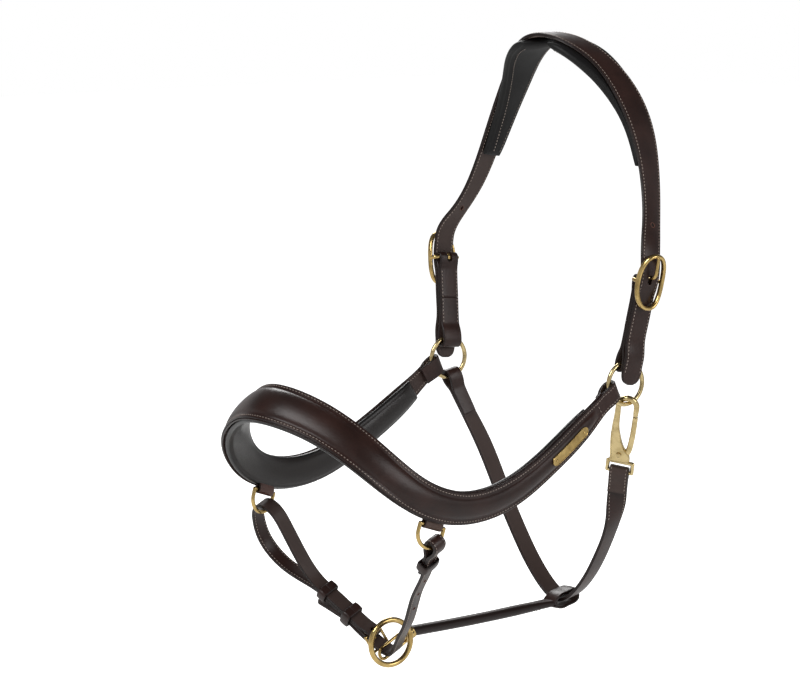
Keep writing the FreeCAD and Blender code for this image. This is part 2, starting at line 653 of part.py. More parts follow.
buckle_out = Vector(far_normal.x, 0, 0) * -1 - chin_up * far_normal.y
buckle_along = (Vector(far_axis.x, 0, 0) + chin_up * far_axis.y) * -1
steep = math.atan2(under + chin_half + dim("bar_gap") + dim("chin_buckle_wire") / 2 + 0.6,
                   dim("chin_buckle_length"))
buckle_dir = buckle_along * math.cos(steep) + buckle_out * math.sin(steep)
chin_buckle_half = dim("chin_width") / 2 + dim("keeper_gap") + dim("chin_buckle_wire") / 2 + 0.4
pieces = []
for sign, tag in ((1, "a"), (-1, "b")):
    leg_spot = axes_at(Vector(0, sign * chin_buckle_half, 0), Vector(0, 0, -1), Vector(1, 0, 0))
    pieces.append(primitive("Cylinder", "chin_buckle_leg_" + tag, leg_spot,
                            Radius="dims.chin_buckle_wire / 2", Height="dims.chin_buckle_length"))
    for far_end in (0, 1):
        corner = primitive("Sphere", "chin_buckle_corner_%s%d" % (tag, far_end),
                           Radius="dims.chin_buckle_wire / 2")
        corner.Placement.Base = Vector(far_end * dim("chin_buckle_length"), sign * chin_buckle_half, 0)
        pieces.append(corner)
for far_end, tag in ((0, "bar"), (1, "end")):
    spot = axes_at(Vector(far_end * dim("chin_buckle_length"), -chin_buckle_half, 0),
                   Vector(1, 0, 0), Vector(0, 1, 0))
    rod = primitive("Cylinder", "chin_buckle_" + tag, spot, Radius="dims.chin_buckle_wire / 2")
    rod.Height = 2 * chin_buckle_half
    pieces.append(rod)
chin_frame = joined("chin_buckle_frame", pieces)
chin_frame.Placement = axes_at(chin_point(*chin_bar), buckle_dir, chin_across.cross(buckle_dir))
node(chin_frame, "chin_buckle_frame")

chin_inner = dim("chin_buckle_wire") / 2 + dim("pivot_gap")
chin_hub = chin_inner + 1.1
above = dim("chin_buckle_wire") / 2 + dim("pivot_gap")
chin_reach = dim("chin_buckle_length")
outline = [Vector(0.6, 0, 1.2), Vector(chin_reach * 0.5, 0, above + 0.1),
           Vector(chin_reach + 2.2, 0, above), Vector(chin_reach + 2.2, 0, above + 1),
           Vector(chin_reach, 0, above + 1.7), Vector(chin_reach * 0.4, 0, above + 1.9),
           Vector(-0.6, 0, chin_hub - 0.2), Vector(0.6, 0, 1.2)]
start = Vector(0, -dim("chin_tongue") / 2, 0)
arm = Part.Face(Part.makePolygon(outline)).extrude(Vector(0, dim("chin_tongue"), 0))
arm.translate(start)
sleeve = Part.makeCylinder(chin_hub, dim("chin_tongue"), start, Vector(0, 1, 0))
bore = Part.makeCylinder(chin_inner, dim("chin_tongue"), start, Vector(0, 1, 0))
out_side = chin_across.cross(buckle_dir)
out_side = out_side if out_side.dot(buckle_out) > 0 else out_side * -1
tongue = leather("chin_buckle_tongue", sleeve.fuse(arm).cut(bore))
tongue.Placement = axes_at(chin_point(*chin_bar), buckle_dir, out_side)

# ---- Lead ring and halter bolt --------------------------------------------------------------

lead_toe = math.radians(dim("lead_toe"))
lead_normal = Vector(math.cos(lead_toe), -math.sin(lead_toe), 0)
lead_ring = primitive("Torus", "lead_ring",
                      axes_at(chin_point(2, 9), Vector(0, 0, 1), lead_normal),
                      Radius1="(dims.lead_outer - dims.lead_wire) / 2", Radius2="dims.lead_wire / 2")
node(lead_ring, "lead_ring")

bolt_spot = chin_point(-5, 0.2)
bolt_half = chin_half + 2.4 + dim("bolt_loop_wire") / 2
loop_front = dim("chin_width") / 2 + dim("keeper_gap") + 3.6
loop = wire_loop("bolt_wire", bolt_half, dim("bolt_loop_length") - bolt_half, "dims.bolt_loop_wire",
                 FreeCAD.Placement())
cap_start = dim("bolt_loop_length") - loop_front
loop.Placement = axes_at(bolt_spot + chin_across * cap_start, chin_across * -1, Vector(1, 0, 0))
cap = primitive("Cylinder", "bolt_cap", axes_at(bolt_spot + chin_across * (cap_start - 1), Vector(1, 0, 0),
                                                chin_across),
                Radius="dims.cap_diameter / 2", Height="dims.cap_length")
cap_end = bolt_spot + chin_across * (cap_start - 1 + dim("cap_length"))
centre_dir = unit(throat - cap_end)
rope_start = cap_end - centre_dir * dim("cap_socket")
socket_side = centre_dir.cross(Vector(0, 0, 1))
socket = primitive("Cylinder", "bolt_socket", axes_at(rope_start, socket_side, centre_dir),
                   Radius="dims.centre_diameter / 2", Height="dims.cap_length * 2")
node(cut("halter_bolt", joined("bolt_solid", [loop, cap]), socket), "halter_bolt")

# ---- Centre strap: rolled leather from the bolt to a loop round the throat strap -------------

loop_up = Vector(0, -throat_across.z, throat_across.y)
loop_half = dim("throat_width") / 2 + dim("open_pivot_gap") + dim("throat_thick") / 2
loop_rise = dim("throat_thick") / 2 + dim("open_pivot_gap") + dim("throat_thick") / 2
oval = [(-loop_half - 5, 1.2), (-loop_half + 1, loop_rise * 0.75), (-loop_half + 6, loop_rise),
        (0, loop_rise), (loop_half - 6, loop_rise), (loop_half - 1.5, loop_rise * 0.72),
        (loop_half, 0)]
route = oval + [(a, -b) for a, b in reversed(oval[:-1])]
stations = [(throat + throat_across * a + loop_up * b, Vector(1, 0, 0), dim("centre_loop_width"))
            for a, b in route]
band = ribbon(stations, dim("throat_thick") * 0.8)
join = throat - throat_across * (loop_half + 2)
rope = Part.makeCylinder(dim("centre_diameter") / 2, (join - rope_start).dot(centre_dir), rope_start,
                         centre_dir)
leather("centre_strap", rope.fuse(band))

# ---- Throat strap ---------------------------------------------------------------------------


def throat_point(side, down):
    """A place in the plane of the throat strap, measured from the line through the rings."""
    return Vector(side, ring_centre.y, ring_centre.z) + throat_down * down


throat_reach = (throat - throat_point(0, 0)).Length
throat_skin = dim("leather_gap") / 2 + dim("throat_thick") / 2
throat_turn = dim("ring_wire") / 2 + dim("ring_gap") + dim("throat_thick") / 2
narrow = dim("throat_width")


def throat_side(share_out, share_down):
    bulge = throat_across * dim("throat_bulge") * math.sin(math.pi * share_down)
    return throat_point(dim("ring_side") * share_out, throat_reach * share_down) + bulge


far_centre = mirrored(ring_centre)
far_radial = Vector(0, 0.24, -1)
far_radial = unit(far_radial - ring_normal * far_radial.dot(ring_normal))
far_foot = far_centre + far_radial * ring_radius
far_tangent = ring_normal.cross(far_radial)
far_tangent = far_tangent if far_tangent.y > 0 else far_tangent * -1
end_width = dim("throat_end_width")
far_along = unit(far_radial + Vector(0.35, 0, 0))
far_out = unit(Vector(-1, 0, 0) + far_along * far_along.x)
far_fold = turn(far_foot, far_along, far_out, throat_turn, sagitta(ring_radius, end_width), 14, throat_skin)
far_fold = [far_fold[-1] + far_along * 24, far_fold[-1] + far_along * 12] + list(reversed(far_fold))

eye_bar = throat_side(0.745, 0.40)
ring_bottom = ring_centre + unit(throat_down - ring_normal * throat_down.dot(ring_normal)) * ring_radius
snap_up = unit(ring_bottom - eye_bar)
snap_turn = math.radians(dim("snap_turn"))
snap_wide = unit(Vector(math.cos(snap_turn), math.sin(snap_turn), 0)
                 - snap_up * snap_up.dot(Vector(math.cos(snap_turn), math.sin(snap_turn), 0)))
eye_along = unit(throat_side(0.64, 0.585) - eye_bar)
eye_out = unit(snap_wide.cross(eye_along))
eye_turn = dim("eye_wire") / 2 + dim("bar_gap") + dim("throat_thick") / 2
eye_fold = turn(eye_bar, eye_along, eye_out, eye_turn, 0, 13, throat_skin)
eye_fold = eye_fold + [eye_fold[-1] + eye_along * 8]
stations = [(point, far_tangent, end_width) for point in far_fold]
stations += [(throat_side(out, down), throat_across, narrow) for out, down in
             ((-0.79, 0.38), (-0.64, 0.585), (-0.46, 0.77), (-0.25, 0.92), (0, 1), (0.25, 0.92),
              (0.46, 0.77))]
stations.append((throat_side(0.64, 0.585), throat_across * 0.7 + snap_wide * 0.3, narrow))
fold_stations = [(point, snap_wide, narrow - 0.6) for point in eye_fold]
stations += fold_stations
leather("throat_strap", ribbon(stations, dim("throat_thick")))

# ---- Snap hook on the near ring -------------------------------------------------------------

snap_place = axes_at(ring_bottom, snap_wide, snap_up)
hook_wire = dim("snap_wire") / 2
hook_mean = dim("snap_inside") / 2 + hook_wire
hook_drop = dim("snap_inside") / 2 - dim("ring_wire") / 2 - dim("ring_gap") * 0.8
eye_reach = (ring_bottom - eye_bar).Length
eye_top = eye_reach - dim("eye_height") + dim("eye_wire")
base = eye_top - dim("eye_wire") / 2 - dim("leather_gap") * 2
thick = dim("snap_thick")


def upright(points, depth):
    """Plate outline of (x, z) points, drawn in the hook's own frame and centred on its depth."""
    outline = [Vector(x, -depth / 2, z) for x, z in points]
    return Part.Face(Part.makePolygon(outline + outline[:1])).extrude(Vector(0, depth, 0))


half_turn = Part.makeTorus(hook_mean, hook_wire, Vector(0, 0, -hook_drop), Vector(0, -1, 0))
half_turn = half_turn.common(Part.makeBox(60, 30, 30, Vector(-30, -15, -hook_drop)))
leg = Part.makeCylinder(hook_wire, base * 0.45, Vector(-hook_mean, 0, -hook_drop), Vector(0, 0, -1))
nose = Part.makeCylinder(hook_wire, dim("snap_nose") - hook_drop - 1.5, Vector(hook_mean, 0, -hook_drop),
                         Vector(0, 0, -1))
left = -hook_mean - hook_wire
right = hook_mean + hook_wire
plate = upright([(left, -base * 0.28), (-dim("snap_inside") / 2, -base * 0.28),
                 (-dim("snap_inside") / 2 + 1, -base * 0.5), (-1, -base * 0.72), (right, -base * 0.86),
                 (right, -base), (left - 1.5, -base), (left - 1.5, -base * 0.8)], thick)
body = half_turn.fuse([leg, nose, plate])
pivot = Vector(-2, 0, -base + 7.5)
slot_depth = dim("gate_thick") + 2 * dim("pivot_gap") + 0.3
slot = Part.makeBox(right + 9, slot_depth, base, Vector(-8.5, -slot_depth / 2, -base + 3.4))
window = slot.common(upright([(-8.5, -base + 3.4), (right + 1, -base + 3.4), (right + 1, -base * 0.6),
                              (4, -base * 0.62), (-8.5, -base + 14)], slot_depth))
bore_start = pivot - Vector(0, thick, 0)
rivet_bore = Part.makeCylinder(dim("snap_rivet") / 2, 2 * thick, bore_start, Vector(0, 1, 0))
post_radius = 2.4
socket = Part.makeCylinder(post_radius + dim("pivot_gap"), 3, Vector(0, 0, -base - 0.1), Vector(0, 0, 1))
body = body.cut(window).cut(rivet_bore).cut(socket)
snap_body = leather("snap_body", body)
snap_body.Placement = snap_place

top = -dim("snap_nose") - 1.0
gate_shape = upright([(hook_mean - 2, top), (hook_mean + 1.7, top), (right - 0.6, -base * 0.6),
                      (right - 1.2, -base + 4.2), (-5.6, -base + 4.2), (-5.6, -base + 11),
                      (0, -base + 11.6), (hook_mean - 2.4, -base * 0.62)], dim("gate_thick"))
running = dim("snap_rivet") / 2 + 0.06
gate_shape = gate_shape.cut(Part.makeCylinder(running, 2 * thick, bore_start, Vector(0, 1, 0)))
snap_gate = leather("snap_gate", gate_shape)
snap_gate.Placement = snap_place

rivet = Part.makeCylinder(dim("snap_rivet") / 2, thick, pivot - Vector(0, thick / 2, 0), Vector(0, 1, 0))
for face in (-1, 1):
    start = pivot + Vector(0, face * thick / 2, 0)
    rivet = rivet.fuse(Part.makeCylinder(dim("snap_rivet") / 2 + 0.9, 0.8, start, Vector(0, face, 0)))
snap_rivet = leather("snap_rivet", rivet)
snap_rivet.Placement = snap_place

eye_half = (dim("eye_width") - dim("eye_wire")) / 2
parts = []
for across in (1, -1):
    parts.append(Part.makeCylinder(dim("eye_wire") / 2, eye_reach - eye_top,
                                   Vector(across * eye_half, 0, -eye_top), Vector(0, 0, -1)))
for level in (eye_top, eye_reach):
    parts.append(Part.makeCylinder(dim("eye_wire") / 2, 2 * eye_half, Vector(-eye_half, 0, -level),
                                   Vector(1, 0, 0)))
    for across in (1, -1):
        parts.append(Part.makeSphere(dim("eye_wire") / 2, Vector(across * eye_half, 0, -level)))
parts.append(Part.makeCylinder(post_radius, eye_top - base + 2.6, Vector(0, 0, -eye_top), Vector(0, 0, 1)))
eye = parts[0].fuse(parts[1:])
snap_eye = leather("snap_eye", eye)
snap_eye.Placement = snap_place

# ---- Blank plate on the noseband ------------------------------------------------------------

curve, params = route_of(noseband_open)
plate_middle = noseband_place(dim("plate_forward"))[0]
centre_param = curve.parameter(plate_middle)
rise = dim("nose_thick") / 2 + dim("plate_thick") / 2
plate_stations = []
for share in (-0.5, -0.25, 0, 0.25, 0.5):
    param = centre_param + share * dim("plate_length")
    spot, (along, across, face), width = station_at(noseband_open, param)
    outward = face if face.x > 0 else face * -1
    plate_stations.append((spot + outward * rise, across, dim("plate_width")))
plate = ribbon(plate_stations, dim("plate_thick")).cut(noseband)
plate_curve = route_of(plate_stations)[0]
pins = []
for end in (0, -1):
    spot = plate_stations[end][0] * 0.86 + plate_stations[2][0] * 0.14
    face = strap_axes(plate_curve, plate_curve.parameter(spot), plate_stations[end][1])[2]
    outward = face if face.x > 0 else face * -1
    foot = spot - outward * (dim("nose_thick") + dim("plate_thick") / 2)
    shank_length = dim("nose_thick") + dim("plate_thick") + 0.3
    shank = Part.makeCylinder(dim("plate_pin") / 2, shank_length, foot, outward)
    noseband = noseband.cut(shank)
    plate = plate.cut(shank)
    head_foot = spot + outward * (dim("plate_thick") / 2 + 0.1)
    head = Part.makeCylinder(dim("plate_pin") * 0.8, 0.5, head_foot, outward)
    pins.append(shank.fuse(head).removeSplitter())
leather("noseband_leather", noseband)
leather("nameplate", plate)
leather("nameplate_pins", Part.makeCompound(pins))

# ---- Check and write ------------------------------------------------------------------------

doc.recompute()
for item in doc.Objects:
    if any(flag in item.State for flag in ("Invalid", "Error")):
        raise RuntimeError("failed: " + item.Name)
os.makedirs("parts", exist_ok=True)
for piece in NODES:
    shape = piece.Shape
    if shape.isNull() or not shape.isValid():
        raise RuntimeError("bad shape: " + piece.Label)
    print(piece.Label, len(shape.Solids), round(shape.Volume))
    shape.exportStep("parts/%s.step" % piece.Label)
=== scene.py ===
import bpy
import bmesh
import math
import numpy as np
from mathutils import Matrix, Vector


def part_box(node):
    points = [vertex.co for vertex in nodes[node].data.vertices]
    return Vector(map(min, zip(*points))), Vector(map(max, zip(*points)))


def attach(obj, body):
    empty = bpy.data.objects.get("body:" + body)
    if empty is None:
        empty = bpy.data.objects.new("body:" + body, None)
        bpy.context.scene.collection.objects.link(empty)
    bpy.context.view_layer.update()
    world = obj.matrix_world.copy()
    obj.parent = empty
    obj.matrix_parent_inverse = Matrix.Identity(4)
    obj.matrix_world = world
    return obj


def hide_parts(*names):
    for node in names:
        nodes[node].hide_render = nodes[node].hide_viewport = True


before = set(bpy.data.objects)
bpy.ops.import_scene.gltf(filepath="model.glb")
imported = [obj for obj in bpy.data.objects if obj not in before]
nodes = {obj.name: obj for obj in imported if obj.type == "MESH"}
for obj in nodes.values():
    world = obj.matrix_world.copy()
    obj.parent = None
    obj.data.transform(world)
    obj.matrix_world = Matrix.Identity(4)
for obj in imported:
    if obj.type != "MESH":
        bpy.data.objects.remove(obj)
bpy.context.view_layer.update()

# ---- Studio ---------------------------------------------------------------------------------
# A pale floor under the hanging headcollar, a white backdrop, and three large soft lights.

FLOOR_DROP = -0.66


def add(tree, kind, values):
    """A new node of a tree, with the named inputs set."""
    made = tree.nodes.new(kind)
    for label, value in values.items():
        made.inputs[label].default_value = value
    return made


floor_mesh = bpy.data.meshes.new("floor")
floor_mesh.from_pydata([(-9, -9, FLOOR_DROP), (9, -9, FLOOR_DROP), (9, 9, FLOOR_DROP), (-9, 9, FLOOR_DROP)],
                       [], [(0, 1, 2, 3)])
floor = bpy.data.objects.new("floor", floor_mesh)
bpy.context.scene.collection.objects.link(floor)
paper = bpy.data.materials.new("studio_paper")
paper.use_nodes = True
paper.node_tree.nodes["Principled BSDF"].inputs["Base Color"].default_value = (0.93, 0.93, 0.92, 1)
paper.node_tree.nodes["Principled BSDF"].inputs["Roughness"].default_value = 0.9
paper.node_tree.nodes["Principled BSDF"].inputs["Emission Color"].default_value = (1, 1, 1, 1)
seen = paper.node_tree.nodes.new("ShaderNodeLightPath")
backdrop = paper.node_tree.nodes.new("ShaderNodeMapRange")
backdrop.inputs["To Min"].default_value = 0.15
backdrop.inputs["To Max"].default_value = 0.92
paper.node_tree.links.new(seen.outputs["Is Camera Ray"], backdrop.inputs["Value"])
paper.node_tree.links.new(backdrop.outputs["Result"],
                          paper.node_tree.nodes["Principled BSDF"].inputs["Emission Strength"])
floor_mesh.materials.append(paper)

bpy.context.scene.view_settings.view_transform = "Standard"
world = bpy.data.worlds.new("studio")
bpy.context.scene.world = world
world.use_nodes = True
sky = world.node_tree
direction = sky.nodes.new("ShaderNodeTexCoord")
height = sky.nodes.new("ShaderNodeSeparateXYZ")
sky.links.new(direction.outputs["Generated"], height.inputs["Vector"])
dome = sky.nodes.new("ShaderNodeMapRange")
dome.interpolation_type = "SMOOTHSTEP"
dome.inputs["From Min"].default_value = 0.12
dome.inputs["From Max"].default_value = 0.55
dome.inputs["To Min"].default_value = 0.62
dome.inputs["To Max"].default_value = 0.12
sky.links.new(height.outputs["Z"], dome.inputs["Value"])
looked_at = sky.nodes.new("ShaderNodeLightPath")
brightest = sky.nodes.new("ShaderNodeMath")
brightest.operation = "MAXIMUM"
sky.links.new(looked_at.outputs["Is Camera Ray"], brightest.inputs[0])
sky.links.new(dome.outputs["Result"], brightest.inputs[1])
sky.links.new(brightest.outputs["Value"], sky.nodes["Background"].inputs["Strength"])
sky.nodes["Background"].inputs["Color"].default_value = (1, 1, 1, 1)


def soft_light(name, place, target, size, power):
    lamp = bpy.data.lights.new(name, "AREA")
    lamp.shape = "SQUARE"
    lamp.size = size
    lamp.energy = power
    holder = bpy.data.objects.new(name, lamp)
    holder.location = place
    aim = Vector(target) - Vector(place)
    holder.rotation_euler = aim.to_track_quat("-Z", "Y").to_euler()
    bpy.context.scene.collection.objects.link(holder)


soft_light("key", (0.2, -1.9, 1.5), (0, -0.1, -0.25), 1.1, 34)
soft_light("rim", (-1.4, 0.9, 1.0), (0, -0.1, -0.25), 0.9, 20)
soft_light("side", (2.0, 0.3, 0.5), (0, -0.1, -0.25), 1.0, 14)

AZIMUTH = math.radians(46)
ELEVATION = math.radians(8.5)
back = Vector((math.sin(AZIMUTH) * math.cos(ELEVATION), -math.cos(AZIMUTH) * math.cos(ELEVATION),
               math.sin(ELEVATION)))
aim_at = Vector((0, -0.120, -0.290))
view = bpy.data.cameras.new("view")
view.lens = 135
view.sensor_width = 36
view.shift_x = -0.0643
view.shift_y = 0.0335
camera = bpy.data.objects.new("view", view)
camera.location = aim_at + back * 2.640
camera.rotation_euler = (-back).to_track_quat("-Z", "Y").to_euler()
bpy.context.scene.collection.objects.link(camera)
bpy.context.scene.camera = camera

# ---- Headpiece ------------------------------------------------------------------------------
# One strap of dark bridle leather over the poll, broad over the crown and narrow at both tails,
# lined and stitched along its edges, with a punched tail pushed through each buckle.

MM = 0.001


class Strap:
    """A strap's route: a smooth curve through (point, width direction, width), all in mm."""

    def __init__(self, stations):
        self.data = np.array([[*point, *across, width] for point, across, width in stations], float)
        gaps = np.linalg.norm(np.diff(self.data[:, :3], axis=0), axis=1)
        self.knots = np.concatenate([[0.0], np.cumsum(gaps)])
        self.length = self.knots[-1]
        count = len(gaps) + 1
        system = np.zeros((count, count))
        right = np.zeros((count, 7))
        system[0, 0] = system[-1, -1] = 1
        for i in range(1, count - 1):
            system[i, i - 1:i + 2] = gaps[i - 1], 2 * (gaps[i - 1] + gaps[i]), gaps[i]
            right[i] = 6 * ((self.data[i + 1] - self.data[i]) / gaps[i]
                            - (self.data[i] - self.data[i - 1]) / gaps[i - 1])
        self.bend = np.linalg.solve(system, right)
        self.gaps = gaps

    def value(self, t):
        i = int(min(max(np.searchsorted(self.knots, t) - 1, 0), len(self.gaps) - 1))
        gap = self.gaps[i]
        a = (self.knots[i + 1] - t) / gap
        b = (t - self.knots[i]) / gap
        return (a * self.data[i] + b * self.data[i + 1]
                + ((a ** 3 - a) * self.bend[i] + (b ** 3 - b) * self.bend[i + 1]) * gap * gap / 6)

    def at(self, t):
        """Point, tangent, width direction, face normal and width at a distance along the strap."""
        here = self.value(t)
        ahead = self.value(min(t + 0.05, self.length))
        behind = self.value(max(t - 0.05, 0))
        along = Vector(ahead[:3] - behind[:3]).normalized()
        across = Vector(here[3:6])
        side = (across - along * along.dot(across)).normalized()
        return Vector(here[:3]), along, side, along.cross(side), here[6]


def new_piece(name, verts, faces, body, smooth=True):
    mesh = bpy.data.meshes.new(name)
    mesh.from_pydata([tuple(v) for v in verts], [], faces)
    mesh.validate()
    piece = bpy.data.objects.new(name, mesh)
    bpy.context.scene.collection.objects.link(piece)
    work = bmesh.new()
    work.from_mesh(mesh)
    bmesh.ops.recalc_face_normals(work, faces=work.faces)
    work.to_mesh(mesh)
    work.free()
    for face in mesh.polygons:
        face.use_smooth = smooth
    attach(piece, body)
    return piece


def profile(width, thick, crown=0.0, margin=2.6, belly=0.0, plies=1, columns=22):
    """Closed outline of a strap's section as (across, out, side mark), with one rounded edge per ply."""
    radius = thick / (2 * plies)
    inner = width / 2 - min(radius, width * 0.3)
    raise_to = max(width / 2 - margin, 0.1)
    outline = []
    for step in range(columns + 1):
        x = inner - 2 * inner * step / columns
        raised = max(0.0, 1 - (x / raise_to) ** 2) ** 0.6
        outline.append((x, thick / 2 + crown * raised, 0.0))
    for ply in range(plies):
        level = thick / 2 - (2 * ply + 1) * radius
        for step in range(5):
            angle = math.radians(110 + 35 * step)
            outline.append((-inner + radius * math.cos(angle), level + radius * math.sin(angle), 1.0))
    for step in range(columns + 1):
        x = -inner + 2 * inner * step / columns
        sunk = max(0.0, 1 - (x / inner) ** 2) ** 0.6
        outline.append((x, -thick / 2 - belly * sunk, -1.0))
    for ply in range(plies - 1, -1, -1):
        level = thick / 2 - (2 * ply + 1) * radius
        for step in range(5):
            angle = math.radians(-70 + 35 * step)
            outline.append((inner + radius * math.cos(angle), level + radius * math.sin(angle), 1.0))
    return outline


def sweep(name, strap, thick, body, start=0.0, end=None, pace=1.6, shape=None, lift=0.0, widen=0.0):
    """A closed strap along a route. shape(share, width) may give other arguments for profile()."""
    end = strap.length if end is None else end
    count = max(2, int((end - start) / pace))
    verts, marks, faces = [], [], []
    size = 0
    for step in range(count + 1):
        t = start + (end - start) * step / count
        point, along, side, face, width = strap.at(t)
        extra = shape(step / count, width + widen) if shape else {}
        outline = profile(width + widen, extra.pop("thick", thick), **extra)
        size = len(outline)
        for across, out, mark in outline:
            verts.append((point + side * across + face * (out + lift)) * MM)
            marks.append((mark, t * MM, across * MM))
    for step in range(count):
        for k in range(size):
            a, b = step * size + k, step * size + (k + 1) % size
            faces.append((a, b, b + size, a + size))
    for ring in (0, count):
        centre = sum((verts[ring * size + k] for k in range(size)), Vector()) / size
        verts.append(centre)
        marks.append((1.0, 0, 0))
        for k in range(size):
            faces.append((ring * size + k, ring * size + (k + 1) % size, len(verts) - 1))
    piece = new_piece(name, verts, faces, body)
    store(piece, marks)
    return piece


def store(piece, marks):
    """Keep on each point: 1 on a waxed edge, -1 on the flesh side, and the place along and across."""
    kept = piece.data.attributes.new("side", "FLOAT", "POINT")
    kept.data.foreach_set("value", [mark[0] for mark in marks])
    run = piece.data.attributes.new("run", "FLOAT_VECTOR", "POINT")
    run.data.foreach_set("vector", [value for mark in marks for value in (mark[1], mark[2], 0.0)])


def link(tree, a, b):
    tree.links.new(a, b)


def leather_finish(name, grain_color, dark_color, flesh_color, roughness, grain=0.5, coat=0.25, dull=0.22):
    """Waxed leather: fine pores and creases, slow mottling, burnished edges and a duller flesh side."""
    finish = bpy.data.materials.new(name)
    finish.use_nodes = True
    tree = finish.node_tree
    shader = tree.nodes["Principled BSDF"]
    place = tree.nodes.new("ShaderNodeTexCoord").outputs["Object"]
    mottle = add(tree, "ShaderNodeTexNoise", {"Scale": 38, "Detail": 5})
    link(tree, place, mottle.inputs["Vector"])
    tone = tree.nodes.new("ShaderNodeMix")
    tone.data_type = "RGBA"
    tone.inputs["A"].default_value = (*dark_color, 1)
    tone.inputs["B"].default_value = (*grain_color, 1)
    spread = add(tree, "ShaderNodeMapRange", {"From Min": 0.3, "From Max": 0.68})
    link(tree, mottle.outputs["Fac"], spread.inputs["Value"])
    link(tree, spread.outputs["Result"], tone.inputs["Factor"])
    mark = tree.nodes.new("ShaderNodeAttribute")
    mark.attribute_name = "side"
    flesh = add(tree, "ShaderNodeMapRange", {"From Min": -0.2, "From Max": -0.9})
    link(tree, mark.outputs["Fac"], flesh.inputs["Value"])
    back_tone = tree.nodes.new("ShaderNodeMix")
    back_tone.data_type = "RGBA"
    back_tone.inputs["B"].default_value = (*flesh_color, 1)
    link(tree, flesh.outputs["Result"], back_tone.inputs["Factor"])
    link(tree, tone.outputs["Result"], back_tone.inputs["A"])
    waxed = add(tree, "ShaderNodeMapRange", {"From Min": 0.3, "From Max": 1.0, "To Max": 0.75})
    link(tree, mark.outputs["Fac"], waxed.inputs["Value"])
    edge_tone = tree.nodes.new("ShaderNodeMix")
    edge_tone.data_type = "RGBA"
    edge_tone.inputs["B"].default_value = (*[value * 0.45 for value in dark_color], 1)
    link(tree, waxed.outputs["Result"], edge_tone.inputs["Factor"])
    link(tree, back_tone.outputs["Result"], edge_tone.inputs["A"])
    link(tree, edge_tone.outputs["Result"], shader.inputs["Base Color"])
    sheen = add(tree, "ShaderNodeMapRange", {"To Min": roughness - 0.07, "To Max": roughness + 0.1})
    link(tree, mottle.outputs["Fac"], sheen.inputs["Value"])
    duller = tree.nodes.new("ShaderNodeMath")
    duller.operation = "MULTIPLY_ADD"
    duller.inputs[1].default_value = dull
    link(tree, flesh.outputs["Result"], duller.inputs[0])
    link(tree, sheen.outputs["Result"], duller.inputs[2])
    link(tree, duller.outputs["Value"], shader.inputs["Roughness"])
    shader.inputs["Coat Weight"].default_value = coat
    shader.inputs["Coat Roughness"].default_value = 0.3
    shader.inputs["Specular IOR Level"].default_value = 0.28
    pores = add(tree, "ShaderNodeTexVoronoi", {"Scale": 1500})
    link(tree, place, pores.inputs["Vector"])
    creases = add(tree, "ShaderNodeTexNoise", {"Scale": 420, "Detail": 6, "Roughness": 0.62})
    link(tree, place, creases.inputs["Vector"])
    relief = tree.nodes.new("ShaderNodeMath")
    relief.operation = "MULTIPLY_ADD"
    relief.inputs[1].default_value = 0.45
    link(tree, pores.outputs["Distance"], relief.inputs[0])
    link(tree, creases.outputs["Fac"], relief.inputs[2])
    bump = add(tree, "ShaderNodeBump", {"Strength": grain, "Distance": 0.00022})
    link(tree, relief.outputs["Value"], bump.inputs["Height"])
    link(tree, bump.outputs["Normal"], shader.inputs["Normal"])
    return finish


havana = leather_finish("havana_leather", (0.0290, 0.0112, 0.0082), (0.0145, 0.0056, 0.0042),
                        (0.046, 0.028, 0.0235), 0.33, coat=0.12)


def thread_finish():
    """Waxed linen thread: dull, slightly fuzzy and uneven in tone."""
    finish = bpy.data.materials.new("linen_thread")
    finish.use_nodes = True
    tree = finish.node_tree
    shader = tree.nodes["Principled BSDF"]
    place = tree.nodes.new("ShaderNodeTexCoord").outputs["Object"]
    twist = add(tree, "ShaderNodeTexNoise", {"Scale": 700})
    link(tree, place, twist.inputs["Vector"])
    tone = tree.nodes.new("ShaderNodeMix")
    tone.data_type = "RGBA"
    tone.inputs["A"].default_value = (0.22, 0.175, 0.150, 1)
    tone.inputs["B"].default_value = (0.42, 0.350, 0.305, 1)
    link(tree, twist.outputs["Fac"], tone.inputs["Factor"])
    link(tree, tone.outputs["Result"], shader.inputs["Base Color"])
    shader.inputs["Roughness"].default_value = 0.7
    return finish


thread = thread_finish()


